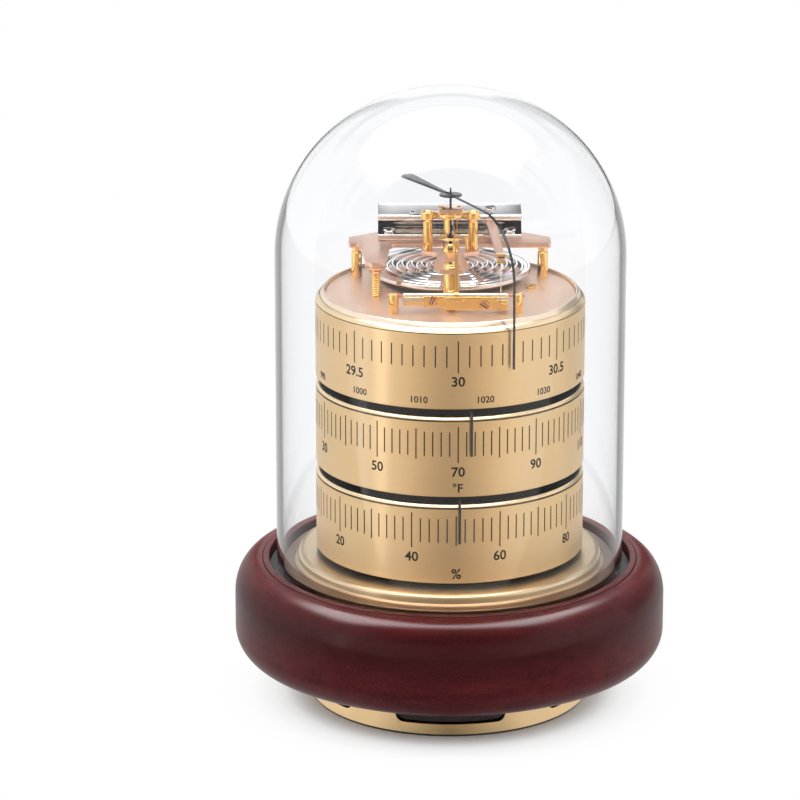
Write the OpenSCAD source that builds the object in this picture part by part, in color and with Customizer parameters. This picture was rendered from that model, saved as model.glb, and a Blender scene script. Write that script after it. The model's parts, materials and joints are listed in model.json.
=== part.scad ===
// Weather station: barometer, thermometer and hygrometer stacked under a glass dome.
// Millimetres. The origin is the centre of the foot's underside, +Z is up and the front faces -Y.
// An azimuth is measured from the front towards +X.

/* [Foot] */
// Thickness of the soft pad under the foot
pad_t = 0.8; // [0.5:0.1:2]
// Outer radius of the brass foot ring
foot_r = 52; // [46:0.5:58]
// Wall of the foot ring
foot_wall = 2.5; // [1.5:0.1:4]
// Height of the foot ring
foot_h = 15; // [13:0.5:22]
// Number of air slots in the foot ring
slot_count = 5; // [3:1:5]
// Angle from one air slot to the next
slot_pitch = 67.7; // [60:0.1:72]
// Angle that one air slot spans
slot_span = 46.3; // [20:0.1:50]
// Height of the solid band below the air slots
slot_sill = 4; // [2:0.1:6]
// Height of an air slot
slot_h = 7; // [4:0.5:8]

/* [Wooden base] */
// Outer radius of the wooden base
wood_r = 80.8; // [76:0.1:90]
// Height of the wooden base
wood_h = 37.8; // [34:0.1:46]
// Radius of the rounding at the base's lower edge
wood_foot_round = 11; // [4:0.5:12]
// Height of the rounded shoulder at the top
shoulder_h = 13.2; // [8:0.1:16]
// Width of the rounded shoulder at the top
shoulder_w = 9.8; // [6:0.1:10]
// Radius of the bore through the middle, which lets the air in
air_bore_r = 14; // [8:0.5:20]

/* [Brass dish] */
// Height of the dish's raised middle above its flange
dish_rise = 4; // [3:0.1:6]
// Thickness of the dish
dish_t = 2; // [1.2:0.1:3]
// Radius of the raised middle at its foot
dish_step_r = 57; // [54:0.1:59]

/* [Glass dome] */
// Outer radius of the dome
dome_r = 65; // [60:0.5:66.5]
// Thickness of the glass
dome_wall = 2.3; // [1.5:0.1:3]
// Height of the dome
dome_h = 182.8; // [175:0.1:200]
// Radius of the curve between the dome's wall and its crown
dome_knuckle_r = 61.5; // [50:0.5:62]
// Radius of the dome's crown
dome_crown_r = 70.9; // [66:0.1:80]
// How far the dome lies below the top of the wooden base
dome_sunk = 3.6; // [2:0.1:6]
// Thickness of the felt ring that the dome stands on
seat_t = 1; // [0.5:0.1:2]

/* [Drums] */
// Outer radius of the three scale drums
drum_r = 50; // [46:0.5:52]
// Wall of a drum
drum_wall = 3.5; // [3:0.1:5]
// Height of a drum
drum_h = 30.1; // [26:0.1:34]
// Gap between one drum and the next
drum_gap = 3.15; // [2.8:0.05:4]
// Gap between the dish and the lowest drum
neck_h = 2.2; // [1.5:0.1:4]
// Thickness of the plates that close a drum
deck_t = 1.6; // [1:0.1:2.4]
// Thickness of the top plate that carries the aneroid movement
top_plate_t = 2; // [1.5:0.1:3]
// Height and width of the bevel round a drum's upper edge
lip = 0.8; // [0.2:0.1:1]

/* [Drum pointers] */
// Azimuth of the thermometer pointer at rest, 72.8 on the scale
thermometer_azimuth = 8.2; // [-60:0.1:60]
// Azimuth of the hygrometer pointer at rest, 50.7 on the scale
hygrometer_azimuth = 3.5; // [-60:0.1:60]
// Width of a drum pointer
hand_w = 0.9; // [0.6:0.1:2]
// How far a drum pointer hangs down below its drum's upper edge
hand_drop = 14.3; // [8:0.1:20]
// Radius of the thermometer and hygrometer spindles
spindle_r = 0.8; // [0.6:0.05:1.5]
// Turns of the thermometer and hygrometer coils
coil_turns = 4; // [3:1:6]
// Outer radius of the coils
coil_r = 16; // [12:0.5:20]
// Width of the coil strip
coil_w = 7; // [4:0.5:10]

/* [Barometer pointer] */
// Azimuth of the barometer pointer at rest, 30.25 on the scale
barometer_azimuth = 25.5; // [-60:0.1:60]
// Radius at which the pointer hangs down in front of its drum
pointer_r = 52; // [51:0.1:58]
// Height of the pointer's hub above the top plate
pointer_z = 36.4; // [34:0.1:40]
// Radius at which the pointer starts to curve down
pointer_bend_r = 27; // [15:0.5:35]
// Height of the end of the curve above the top plate
pointer_bend_z = 14.6; // [10:0.1:25]
// How far the pointer hangs below the top plate
pointer_drop = 16.3; // [8:0.1:22]
// Width of the pointer
pointer_w = 1; // [0.6:0.1:2]
// Thickness of the pointer
pointer_t = 0.45; // [0.3:0.05:1]
// Length of the pointer's tail
tail_l = 36.5; // [15:0.5:40]

/* [Aneroid capsule and bridge] */
// Radius of the aneroid capsule
capsule_r = 30.5; // [24:0.5:31]
// Distance of the capsule's middle behind the spindle
capsule_y = 19; // [18:0.5:20]
// Number of ridges pressed into the capsule
ridge_count = 6; // [4:1:8]
// Distance of the bridge posts from the middle, to each side
post_x = 35; // [33:0.5:37]
// Distance of the bridge posts behind the spindle
post_y = 21; // [19:0.5:23]
// Radius of a bridge post
post_r = 2.05; // [1.6:0.05:3]
// Height of the bridge's underside above the top plate
bridge_z = 11.6; // [10:0.1:16]
// Thickness of the bridge
bridge_t = 1.8; // [1.2:0.1:3]
// Place of the adjusting screw, along X
screw_x = -27.5; // [-30:0.5:-25]
// Place of the adjusting screw, along Y
screw_y = -6.8; // [-10:0.1:-4]
// Radius of the adjusting screw
screw_r = 1.75; // [1.5:0.05:2.5]

/* [Mainspring] */
// Width of the mainspring
spring_w = 54; // [44:1:56]
// Distance of the mainspring's open edge behind the spindle
spring_y = 23; // [22.5:0.5:26]
// Length of the flat part of a leaf
spring_l = 14; // [10:0.5:15]
// Thickness of the lower leaf
lower_leaf_t = 2.2; // [1.5:0.1:3]
// Thickness of the upper leaf
upper_leaf_t = 2.6; // [1.5:0.1:3]
// Gap between the two leaves
leaf_gap = 6; // [5:0.1:8]

/* [Linkwork] */
// Distance of the rocking shaft in front of the spindle
shaft_y = 28.6; // [28.6:0.1:30]
// Height of the rocking shaft above the top plate
shaft_z = 6.2; // [5:0.1:8]
// Length of the rocking shaft
shaft_l = 38.2; // [34:0.1:40]
// Sideways offset of the rocking shaft
shaft_x = 1.6; // [0:0.1:3]
// Radius of the rocking shaft
shaft_r = 0.95; // [0.8:0.05:1.2]
// Place of the lever and chain, along X
lever_x = 1.3; // [1.2:0.05:1.6]
// Width of the lever that pulls the chain
lever_w = 2; // [1:0.1:3]
// Height of the lever above the rocking shaft
lever_h = 20.4; // [19.5:0.1:21]
// Distance of the link wire from the right end of the rocking shaft
link_inset = 2.7; // [1.7:0.1:4.7]

/* [Movement frame] */
// Distance of the frame's column in front of the spindle
column_y = 24; // [22:0.1:24]
// Radius of the frame's column
column_r = 3; // [2:0.1:3]
// Height of the movement plate's upper face above the top plate
movement_z = 15.3; // [14.5:0.1:17]
// Thickness of the movement plate
movement_t = 1.6; // [1:0.1:2]
// Distance of the two pillars from the spindle, to each side
pillar_x = 8.4; // [7.5:0.1:10]
// Distance of the two pillars behind the spindle
pillar_y = 2; // [0:0.1:3]
// Radius of a pillar
pillar_r = 1.75; // [1.2:0.05:2]
// Height of a pillar
pillar_h = 14.6; // [14:0.1:15.5]
// Turns of the hairspring
hairspring_turns = 4; // [2:1:5]

/* [Fits] */
// Radial clearance of a pin that turns in its hole
running_gap = 0.05; // [0.02:0.01:0.1]
// Radial clearance of a screw or rod in its hole
hole_gap = 0.1; // [0.05:0.05:0.3]
// Clearance between faces of pieces that move past each other
face_gap = 0.3; // [0.2:0.05:0.5]

/* [Hidden] */
$fn = 64;
eps = 0.01;
// A cut runs this far past the face that it opens
over = 1;

// Heights of the base, from the floor up
foot_top = pad_t + foot_h;
wood_top = foot_top + wood_h;
dome_z = wood_top - dome_sunk;
seat_z = dome_z - seat_t;
flange_z = wood_top - 2.4;
dish_top = wood_top - 0.4 + dish_rise;
recess_r = dome_r + 3;
seat_clear = 0.4;
dish_r = dome_r - dome_wall - seat_clear;
boss_r = 32;
foot_screw_pcd_r = foot_r - foot_wall - 4;
dish_screw_pcd_r = 23;
dome_lift_gap = 0.1;

// Heights of the drum stack
drum_pitch = drum_h + drum_gap;
hygrometer_z = dish_top + neck_h;
thermometer_z = hygrometer_z + drum_pitch;
barometer_z = thermometer_z + drum_pitch;
plate_z = barometer_z + drum_h + 0.4;
deck_drop = 0.4;
deck_r = drum_r - 1.7;
rod_r = 1.5;
nut_r = 3;
nut_h = 3;
rod_az = [atan2(post_x, -post_y), -atan2(post_x, -post_y), 180];
rod_rad = [norm([post_x, post_y]), norm([post_x, post_y]), norm([post_x, post_y])];
hand_z = 1.2;
hand_t = 0.5;
hand_gap = 0.9;
coil_strip_t = 0.5;
coil_in_r = 3;
coil_drop = 12;

// Heights of the movement, from the top plate up
bridge_top = plate_z + bridge_z + bridge_t;
lower_leaf_top = bridge_top + lower_leaf_t;
upper_leaf_z = lower_leaf_top + leaf_gap;
upper_leaf_top = upper_leaf_z + upper_leaf_t;
spring_bend_y = spring_y + spring_l;
spring_bend_r = (upper_leaf_top - bridge_top) / 2;
movement_top = plate_z + movement_z;
movement_under = movement_top - movement_t;
pillar_top = movement_top + pillar_h;
bar_t = 1.8;
bar_z = pillar_top - bar_t;
shaft_level = plate_z + shaft_z;
link_x = shaft_x + shaft_l / 2 - link_inset;
hub_z = plate_z + pointer_z;
baro_spindle_r = 0.6;
chain_drum_r = 0.9;
chain_r = 0.25;
chain_z = plate_z + 24.2;
hair_z = plate_z + 20.6;
hair_r = 0.15;
hair_in_r = 1.7;
hair_pitch = 0.9;
hair_turn_steps = 24;
capsule_z = plate_z + 1.2;
capsule_rim_z = capsule_z + 2;
capsule_rim_t = 1.6;
arm_z = upper_leaf_z - 0.1;
arm_t = 1;
arm_droop = 1.1;
link_y = shaft_y - 2.2;
arm_root = [15, spring_y + 7];
arm_tip_y = -link_y;
leaf_screw = [15.2, spring_y + 2.8];
spring_screw = [22.8, spring_y + 3.4];
spring_screw_r = 1.2;

// A point at an azimuth and radius on a plan, measured from the front
function at(a, r) = [r * sin(a), -r * cos(a)];

// Points of a quarter of an ellipse, from angle a0 to a1
function arc_pts(cx, cy, rx, ry, a0, a1, n) =
    [for (i = [0 : n]) let (a = a0 + (a1 - a0) * i / n) [cx + rx * cos(a), cy + ry * sin(a)]];

module place_at(a, r, z = 0) {
    rotate([0, 0, a])
        translate([0, -r, z])
            children();
}

module tube(r_out, r_in, h) {
    difference() {
        cylinder(r = r_out, h = h);
        translate([0, 0, -over])
            cylinder(r = r_in, h = h + 2 * over);
    }
}

module hex_nut(r, h, bore) {
    difference() {
        cylinder(r = r, h = h, $fn = 6);
        translate([0, 0, -over])
            cylinder(r = bore, h = h + 2 * over);
    }
}

// A slotted cheese-head screw standing on z = 0, with its shank below
module slotted_screw(head_r, head_h, shank_r, shank_l, turn = 0) {
    difference() {
        union() {
            cylinder(r = head_r, h = head_h);
            translate([0, 0, -shank_l])
                cylinder(r = shank_r, h = shank_l + eps);
        }
        rotate([0, 0, turn])
            translate([-head_r - over, -head_r * 0.14, head_h * 0.5])
                cube([2 * (head_r + over), head_r * 0.28, head_h]);
    }
}

// The foot: a soft pad, a slotted brass ring and its screws
foot_flange_t = 2;
foot_flange_w = 9;
module foot_pad() {
    color("dimgray")
        tube(foot_r - 0.5, foot_r - 8, pad_t);
}

module foot_ring() {
    color("goldenrod")
        translate([0, 0, pad_t])
            difference() {
                union() {
                    tube(foot_r, foot_r - foot_wall, foot_h);
                    translate([0, 0, foot_h - foot_flange_t])
                        tube(foot_r - eps, foot_r - foot_wall - foot_flange_w, foot_flange_t);
                    tube(foot_r - eps, foot_r - 8, foot_flange_t);
                }
                for (i = [0 : slot_count - 1])
                    rotate([0, 0, (i - (slot_count - 1) / 2) * slot_pitch - 90 - slot_span / 2])
                        translate([0, 0, slot_sill])
                            rotate_extrude(angle = slot_span)
                                translate([foot_r - foot_wall - over, 0])
                                    square([foot_wall + 2 * over, slot_h]);
                for (a = [45 : 90 : 315])
                    place_at(a, foot_screw_pcd_r, foot_h - foot_flange_t - over)
                        cylinder(r = foot_screw_r + hole_gap, h = foot_flange_t + 2 * over);
            }
}

foot_screw_r = 1.75;
foot_screw_l = 12;
module foot_screws() {
    color("goldenrod")
        for (a = [45 : 90 : 315])
            place_at(a, foot_screw_pcd_r, foot_top - foot_flange_t)
                rotate([180, 0, 0])
                    slotted_screw(3.2, 1.6, foot_screw_r, foot_screw_l);
}

// The turned wooden base, with a recess for the dome and a boss under the dish
module wood_base() {
    z0 = foot_top;
    shoulder_r = wood_r - shoulder_w;
    groove_r = shoulder_r - 0.6;
    color([0.36, 0.10, 0.10])
        difference() {
            rotate_extrude()
                polygon(concat(
                    [[air_bore_r, z0]],
                    arc_pts(wood_r - wood_foot_round, z0 + wood_foot_round,
                            wood_foot_round, wood_foot_round, -90, 0, 8),
                    arc_pts(shoulder_r, wood_top - 0.4 - shoulder_h,
                            shoulder_w, shoulder_h, 0, 90, 10),
                    [[groove_r, wood_top - 0.4], [groove_r, wood_top], [recess_r, wood_top],
                     [recess_r, seat_z], [dish_r + 0.1, seat_z], [dish_r + 0.1, flange_z],
                     [boss_r, flange_z], [boss_r, dish_top - dish_t],
                     [air_bore_r, dish_top - dish_t]]));
            for (a = [45 : 90 : 315])
                place_at(a, foot_screw_pcd_r, z0 - over)
                    cylinder(r = foot_screw_r + hole_gap, h = foot_screw_l + over);
            for (a = [60 : 120 : 300])
                place_at(a, dish_screw_pcd_r, dish_top - dish_t - dish_screw_l)
                    cylinder(r = dish_screw_r + hole_gap, h = dish_screw_l + over);
        }
}

// The spun brass dish that closes the base and carries the drums
dish_screw_r = 1.5;
dish_screw_l = 12;
module base_dish() {
    round_r = 2.6;
    inner_r = dish_step_r - round_r - dish_t;
    color("goldenrod")
        difference() {
            rotate_extrude()
                polygon(concat(
                    [[air_bore_r - 2, dish_top - dish_t], [inner_r, dish_top - dish_t],
                     [inner_r, flange_z], [dish_r, flange_z],
                     [dish_r, flange_z + dish_t], [dish_step_r, flange_z + dish_t]],
                    arc_pts(dish_step_r - round_r, dish_top - round_r,
                            round_r, round_r, 0, 90, 6),
                    [[air_bore_r - 2, dish_top]]));
            for (i = [0 : 2])
                place_at(rod_az[i], rod_rad[i], flange_z)
                    cylinder(r = rod_r + hole_gap, h = dish_rise + dish_t + over);
            for (a = [60 : 120 : 300])
                place_at(a, dish_screw_pcd_r, flange_z)
                    cylinder(r = dish_screw_r + hole_gap, h = dish_rise + dish_t + over);
        }
}

module dish_screws() {
    color("goldenrod")
        for (a = [60 : 120 : 300])
            place_at(a, dish_screw_pcd_r, dish_top)
                slotted_screw(2.8, 1.4, dish_screw_r, dish_t + dish_screw_l - 1, a);
}

module dome_seat() {
    color("dimgray")
        translate([0, 0, seat_z])
            tube(recess_r - 0.4, dish_r + 0.4, seat_t);
}

// The glass dome: a straight wall, a knuckle and a flatter crown, tangent to each other
module dome_outline(inset) {
    zc = dome_z + dome_h - dome_crown_r;
    side = dome_r - dome_knuckle_r;
    rise = sqrt(pow(dome_crown_r - dome_knuckle_r, 2) - side * side);
    meet = atan2(rise, side);
    crown = dome_crown_r - inset;
    knuckle = dome_knuckle_r - inset;
    polygon(concat(
        [[0, dome_z - over], [dome_r - inset, dome_z - over]],
        arc_pts(side, zc + rise, knuckle, knuckle, 0, meet, 10),
        arc_pts(0, zc, crown, crown, meet, 90, 6)));
}

module glass_dome() {
    color("lightcyan", 0.3)
        difference() {
            rotate_extrude()
                dome_outline(0);
            rotate_extrude()
                dome_outline(dome_wall);
            translate([0, 0, dome_z + dome_lift_gap - 2 * over])
                cylinder(r = dome_r + over, h = 2 * over);
        }
}

// The drum stack's plates, rods and spacers
module neck_ring() {
    color("black")
        translate([0, 0, dish_top])
            tube(drum_r - 4, drum_r - 6.5, neck_h);
}

module rod_holes(z, h) {
    for (i = [0 : 2])
        place_at(rod_az[i], rod_rad[i], z)
            cylinder(r = rod_r + hole_gap, h = h);
}

module tie_rods() {
    z0 = dish_top - dish_t - nut_h - 0.4;
    color("silver")
        for (i = [0 : 2])
            place_at(rod_az[i], rod_rad[i], z0)
                cylinder(r = rod_r, h = plate_z + (i == 2 ? 0 : 5) - z0);
}

module rod_nuts() {
    color("goldenrod")
        for (i = [0 : 2])
            place_at(rod_az[i], rod_rad[i], dish_top - dish_t - nut_h)
                hex_nut(nut_r, nut_h, rod_r + hole_gap);
}

module stack_spacers() {
    color("black")
        for (z = [hygrometer_z, thermometer_z], i = [0 : 2])
            place_at(rod_az[i], rod_rad[i], z + drum_h - deck_drop)
                tube(nut_r, rod_r + hole_gap, drum_gap + deck_drop);
}

// A drum: a brass tube, stepped inside at both ends for its plates
module drum(z, top_seat) {
    color("burlywood")
        translate([0, 0, z])
            difference() {
                rotate_extrude()
                    polygon([[drum_r - drum_wall, 0], [drum_r - lip / 4, 0], [drum_r, lip / 4],
                             [drum_r, drum_h - lip], [drum_r - lip, drum_h],
                             [drum_r - drum_wall, drum_h]]);
                translate([0, 0, -over])
                    cylinder(r = deck_r + hole_gap, h = deck_t + over);
                translate([0, 0, drum_h - top_seat])
                    cylinder(r = deck_r + hole_gap, h = top_seat + over);
            }
}

// A dark plate seated in the end of a drum, with air holes and a bush hole in its middle
module deck(z, thick, bush_r, vents) {
    vent_r = 3;
    vent_pcd_r = 24;
    color("black")
        difference() {
            translate([0, 0, z])
                cylinder(r = deck_r, h = thick);
            rod_holes(z - over, thick + 2 * over);
            translate([0, 0, z - over])
                cylinder(r = bush_r, h = thick + 2 * over);
            if (vents)
                for (a = [0 : 60 : 300])
                    place_at(a, vent_pcd_r, z - over)
                        cylinder(r = vent_r, h = thick + 2 * over);
        }
}

// A drum instrument: coil, stud, spindle and pointer, for the drum that starts at z
module coil_strip(z) {
    steps = 18;
    n = coil_turns * steps;
    pitch = (coil_r - coil_in_r) / coil_turns;
    function edge(i, side) =
        let (r = coil_in_r + pitch * i / steps + side * coil_strip_t / 2, a = 360 * i / steps)
        [r * cos(a), r * sin(a)];
    color("peru")
        translate([0, 0, z + drum_h - coil_drop - coil_w])
            linear_extrude(coil_w)
                polygon(concat([for (i = [0 : n]) edge(i, 1)], [for (i = [n : -1 : 0]) edge(i, -1)]));
}

module coil_studs() {
    stud_r = 1.25;
    foot_z = drum_h - coil_drop - coil_w;
    color("goldenrod")
        for (z = [hygrometer_z, thermometer_z])
            translate([coil_r + coil_strip_t / 2 + stud_r + 0.05, 0, z + foot_z])
                cylinder(r = stud_r, h = drum_h - deck_drop - deck_t - foot_z);
}

module drum_spindle(z) {
    color("silver")
        translate([0, 0, z + 0.2])
            union() {
                cylinder(r = spindle_r, h = drum_h + hand_z + hand_gap);
                translate([0, 0, drum_h - coil_drop - coil_w - 0.2])
                    cylinder(r = coil_in_r - coil_strip_t / 2 - face_gap, h = coil_w);
            }
}

module drum_pointer(z, azimuth) {
    arm_r = drum_r + hand_gap + hand_t;
    hub_r = 3;
    arm_level = z + drum_h + hand_z;
    color([0.08, 0.08, 0.08])
        rotate([0, 0, azimuth])
            difference() {
                union() {
                    translate([0, 0, arm_level])
                        cylinder(r = hub_r, h = hand_t);
                    translate([-hand_w / 2, -arm_r, arm_level])
                        cube([hand_w, arm_r, hand_t]);
                    translate([-hand_w / 2, -arm_r, z + drum_h - hand_drop])
                        cube([hand_w, hand_t, hand_drop + hand_z + hand_t]);
                }
                translate([0, 0, arm_level - over])
                    cylinder(r = spindle_r + press_gap, h = hand_t + 2 * over);
            }
}
press_gap = 0.02;

module hygrometer_floor() {
    deck(hygrometer_z, deck_t, spindle_r + running_gap, true);
}

module hygrometer_drum() {
    drum(hygrometer_z, deck_t + deck_drop);
}

module hygrometer_deck() {
    deck(hygrometer_z + drum_h - deck_drop - deck_t, deck_t, spindle_r + running_gap, true);
}

module hygrometer_coil() {
    coil_strip(hygrometer_z);
}

module hygrometer_spindle() {
    drum_spindle(hygrometer_z);
}

module hygrometer_pointer() {
    drum_pointer(hygrometer_z, hygrometer_azimuth);
}

module thermometer_floor() {
    deck(thermometer_z, deck_t, spindle_r + running_gap, true);
}

module thermometer_drum() {
    drum(thermometer_z, deck_t + deck_drop);
}

module thermometer_deck() {
    deck(thermometer_z + drum_h - deck_drop - deck_t, deck_t, spindle_r + running_gap, true);
}

module thermometer_coil() {
    coil_strip(thermometer_z);
}

module thermometer_spindle() {
    drum_spindle(thermometer_z);
}

module thermometer_pointer() {
    drum_pointer(thermometer_z, thermometer_azimuth);
}

module barometer_floor() {
    deck(barometer_z, deck_t, 2, false);
}

module barometer_drum() {
    drum(barometer_z, top_plate_t - (plate_z - barometer_z - drum_h));
}

// The copper top plate, drilled for the posts, the capsule, the column and the screws
capsule_stem_r = 2;
module top_plate() {
    color([0.80, 0.58, 0.50])
        difference() {
            translate([0, 0, plate_z - top_plate_t])
                cylinder(r = deck_r, h = top_plate_t);
            rod_holes(plate_z - top_plate_t - over, top_plate_t + 2 * over);
            translate([0, capsule_y, plate_z - top_plate_t - over])
                cylinder(r = capsule_stem_r + hole_gap, h = top_plate_t + 2 * over);
            translate([screw_x, screw_y, plate_z - top_plate_t - over])
                cylinder(r = screw_r + running_gap, h = top_plate_t + 2 * over);
            translate([0, -column_y, plate_z - top_plate_t - over])
                cylinder(r = column_tenon_r + hole_gap, h = top_plate_t + 2 * over);
            translate([plate_screw_at[0], plate_screw_at[1], plate_z - top_plate_t - over])
                cylinder(r = plate_screw_r + hole_gap, h = top_plate_t + 2 * over);
        }
}

plate_screw_at = [30, 4];
plate_screw_r = 1;
module plate_screw() {
    color("gold")
        translate([plate_screw_at[0], plate_screw_at[1], plate_z])
            slotted_screw(2, 1.2, plate_screw_r, top_plate_t + 2, 40);
}

// The aneroid capsule: two ridged skins on a rim, with a stem through the plate
module aneroid_capsule() {
    ridge_h = 0.9;
    first_r = 5;
    last_r = capsule_r - 3.4;
    ridge_steps = 6 * ridge_count;
    rim_top = capsule_rim_z + capsule_rim_t;
    function ridge(i) =
        let (r = last_r - (last_r - first_r) * i / ridge_steps)
        [r, rim_top + ridge_h / 2 * (1 - cos(360 * i * ridge_count / ridge_steps))];
    color("silver")
        translate([0, capsule_y, 0])
            union() {
                rotate_extrude()
                    polygon(concat(
                        [[0, capsule_z], [capsule_r - 4, capsule_z],
                         [capsule_r - 2, capsule_rim_z], [capsule_r, capsule_rim_z],
                         [capsule_r, rim_top]],
                        [for (i = [0 : ridge_steps]) ridge(i)],
                        [[0, rim_top]]));
                translate([0, 0, capsule_z - eps])
                    cylinder(r = 4.5, h = rim_top + 1.6 - capsule_z);
                translate([0, 0, plate_z])
                    cylinder(r = 7, h = capsule_z - plate_z + eps);
                translate([0, 0, plate_z - top_plate_t - 4])
                    cylinder(r = capsule_stem_r, h = top_plate_t + 4 + eps);
            }
}

module capsule_nut() {
    color("goldenrod")
        translate([0, capsule_y, plate_z - top_plate_t - 3])
            hex_nut(4.5, 3, capsule_stem_r + hole_gap);
}

// The post that pulls the capsule up against the mainspring's upper leaf
pull_r = 1.5;
module pull_post() {
    z0 = capsule_rim_z + capsule_rim_t + 1.6;
    hook_z = upper_leaf_top + 0.1;
    hook_t = 1.4;
    color("silver")
        union() {
            translate([0, capsule_y, z0])
                cylinder(r = pull_r, h = hook_z + hook_t - z0);
            translate([-3, capsule_y - pull_r, hook_z])
                cube([6, spring_y - capsule_y + 2.5 + pull_r, hook_t]);
        }
}

// The bridge over the capsule: a copper plate on two posts and the adjusting screw
leg_tip_r = 4.2;
tenon_r = 1.2;
module bridge_plate() {
    front = post_y - 2.5;
    back = post_y + 7;
    color([0.80, 0.58, 0.50])
        difference() {
            translate([0, 0, plate_z + bridge_z])
                linear_extrude(bridge_t)
                    difference() {
                        union() {
                            polygon([
                                [-post_x - 3, front], [post_x + 3, front],
                                [post_x + 3, back], [spring_w / 2 + 1, back + 7],
                                [spring_w / 2 - 6, back + 12], [6 - spring_w / 2, back + 12],
                                [-spring_w / 2 - 1, back + 7], [-post_x - 3, back]]);
                            polygon([
                                [-post_x + 1, front + 1], [screw_x - leg_tip_r * 0.85, screw_y],
                                [screw_x + leg_tip_r * 0.85, screw_y], [screw_x + 5, front + 1]]);
                            translate([screw_x, screw_y])
                                circle(r = leg_tip_r * 0.95);
                        }
                        translate([0, capsule_y])
                            circle(r = pull_r + 1);
                        translate([-pull_r - 1, front - over])
                            square([2 * pull_r + 2, capsule_y - front + over]);
                    }
            for (s = [-1, 1]) {
                translate([s * post_x, post_y, plate_z])
                    cylinder(r = tenon_r + hole_gap, h = bridge_z + bridge_t + over);
                translate([s * spring_screw[0], spring_screw[1], plate_z])
                    cylinder(r = spring_screw_r + hole_gap, h = bridge_z + bridge_t + over);
            }
            translate([screw_x, screw_y, plate_z])
                cylinder(r = tenon_r + running_gap, h = bridge_z + bridge_t + over);
        }
}

module bridge_posts() {
    color("gold")
        for (s = [-1, 1])
            translate([s * post_x, post_y, plate_z])
                difference() {
                    union() {
                        cylinder(r = post_r, h = bridge_z - 1.2);
                        translate([0, 0, bridge_z - 1.2 - eps])
                            cylinder(r1 = post_r, r2 = post_r - 0.7, h = 1.2 + eps);
                        translate([0, 0, bridge_z - eps])
                            cylinder(r = tenon_r, h = bridge_t - 0.1);
                    }
                    translate([0, 0, -over])
                        cylinder(r = rod_r + hole_gap, h = 5.2 + over);
                }
}

module adjusting_screw() {
    cone_h = 1.8;
    under = 8;
    color("gold")
        translate([screw_x, screw_y, plate_z])
            difference() {
                union() {
                    translate([0, 0, -under])
                        cylinder(r = screw_r, h = under + bridge_z - cone_h - 0.1);
                    translate([0, 0, bridge_z - cone_h - 0.1 - eps])
                        cylinder(r1 = screw_r + 0.4, r2 = leg_tip_r - 0.1, h = cone_h + eps);
                    translate([0, 0, bridge_z - 0.1 - eps])
                        cylinder(r = tenon_r, h = bridge_t + 0.1);
                }
                rotate([0, 0, 35])
                    translate([-3, -0.2, bridge_z + bridge_t - 0.6])
                        cube([6, 0.4, 0.6 + over]);
            }
}

// The mainspring: a folded steel leaf, open to the front
module mainspring() {
    inner_r = leaf_gap / 2;
    inner_z = lower_leaf_top + inner_r;
    color("silver")
        difference() {
            translate([spring_w / 2, 0, 0])
                rotate([90, 0, -90])
                    linear_extrude(spring_w)
                        difference() {
                            union() {
                                translate([-spring_bend_y, bridge_top])
                                    square([spring_l, 2 * spring_bend_r]);
                                translate([-spring_bend_y, bridge_top + spring_bend_r])
                                    circle(r = spring_bend_r);
                            }
                            translate([-spring_bend_y, lower_leaf_top])
                                square([spring_l + over, leaf_gap]);
                            translate([-spring_bend_y, inner_z])
                                circle(r = inner_r);
                        }
            for (s = [-1, 1])
                translate([s * spring_screw[0], spring_screw[1], bridge_top - over])
                    cylinder(r = spring_screw_r + hole_gap, h = lower_leaf_t + 2 * over);
            translate([leaf_screw[0], leaf_screw[1], upper_leaf_z - over])
                cylinder(r = 1.2, h = upper_leaf_t + 2 * over);
        }
}

module spring_screws() {
    color("silver")
        for (s = [-1, 1])
            translate([s * spring_screw[0], spring_screw[1], lower_leaf_top])
                slotted_screw(2.4, 1.8, spring_screw_r, lower_leaf_t + bridge_t - 0.1, s * 30);
}

// The compensation arm under the upper leaf, its screw, its clamp and the link wire
module droop() {
    translate([0, arm_root[1], arm_z])
        rotate([arm_droop, 0, 0])
            translate([0, -arm_root[1], -arm_z])
                children();
}

module compensation_arm() {
    root_w = 4;
    tip_w = 2.8;
    color([0.88, 0.70, 0.66])
        difference() {
            droop()
                translate([0, 0, arm_z - arm_t])
                    linear_extrude(arm_t)
                        polygon([
                            [arm_root[0] - root_w / 2, arm_root[1] + 2],
                            [link_x - tip_w / 2, arm_tip_y - 1.6],
                            [link_x + tip_w / 2, arm_tip_y - 1.6],
                            [arm_root[0] + root_w / 2, arm_root[1] + 2]]);
            translate([leaf_screw[0], leaf_screw[1], arm_z - arm_t - over])
                cylinder(r = 0.9 + hole_gap, h = arm_t + 2 * over);
        }
}

module arm_screw() {
    color("silver")
        translate([leaf_screw[0], leaf_screw[1], upper_leaf_top + 0.1])
            slotted_screw(2.2, 1.5, 0.9, upper_leaf_t + arm_t + 0.1, 20);
}

clamp_z = arm_z - arm_t / 2 - (arm_root[1] + link_y) * sin(arm_droop);
module arm_clamp() {
    clamp_w = 4.2;
    clamp_d = 2.4;
    clamp_h = 3.4;
    slot_w = 3.2;
    color("gold")
        difference() {
            translate([link_x - clamp_w / 2, arm_tip_y - clamp_d / 2, clamp_z - clamp_h / 2 - 0.3])
                cube([clamp_w, clamp_d, clamp_h]);
            translate([link_x, arm_tip_y, clamp_z])
                rotate([arm_droop, 0, 0])
                    translate([-slot_w / 2, -clamp_d, -arm_t / 2 - press_gap])
                        cube([slot_w, 2 * clamp_d, arm_t + 2 * press_gap]);
            translate([link_x, arm_tip_y, clamp_z - clamp_h])
                cylinder(r = link_r + press_gap, h = clamp_h);
        }
}

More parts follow.
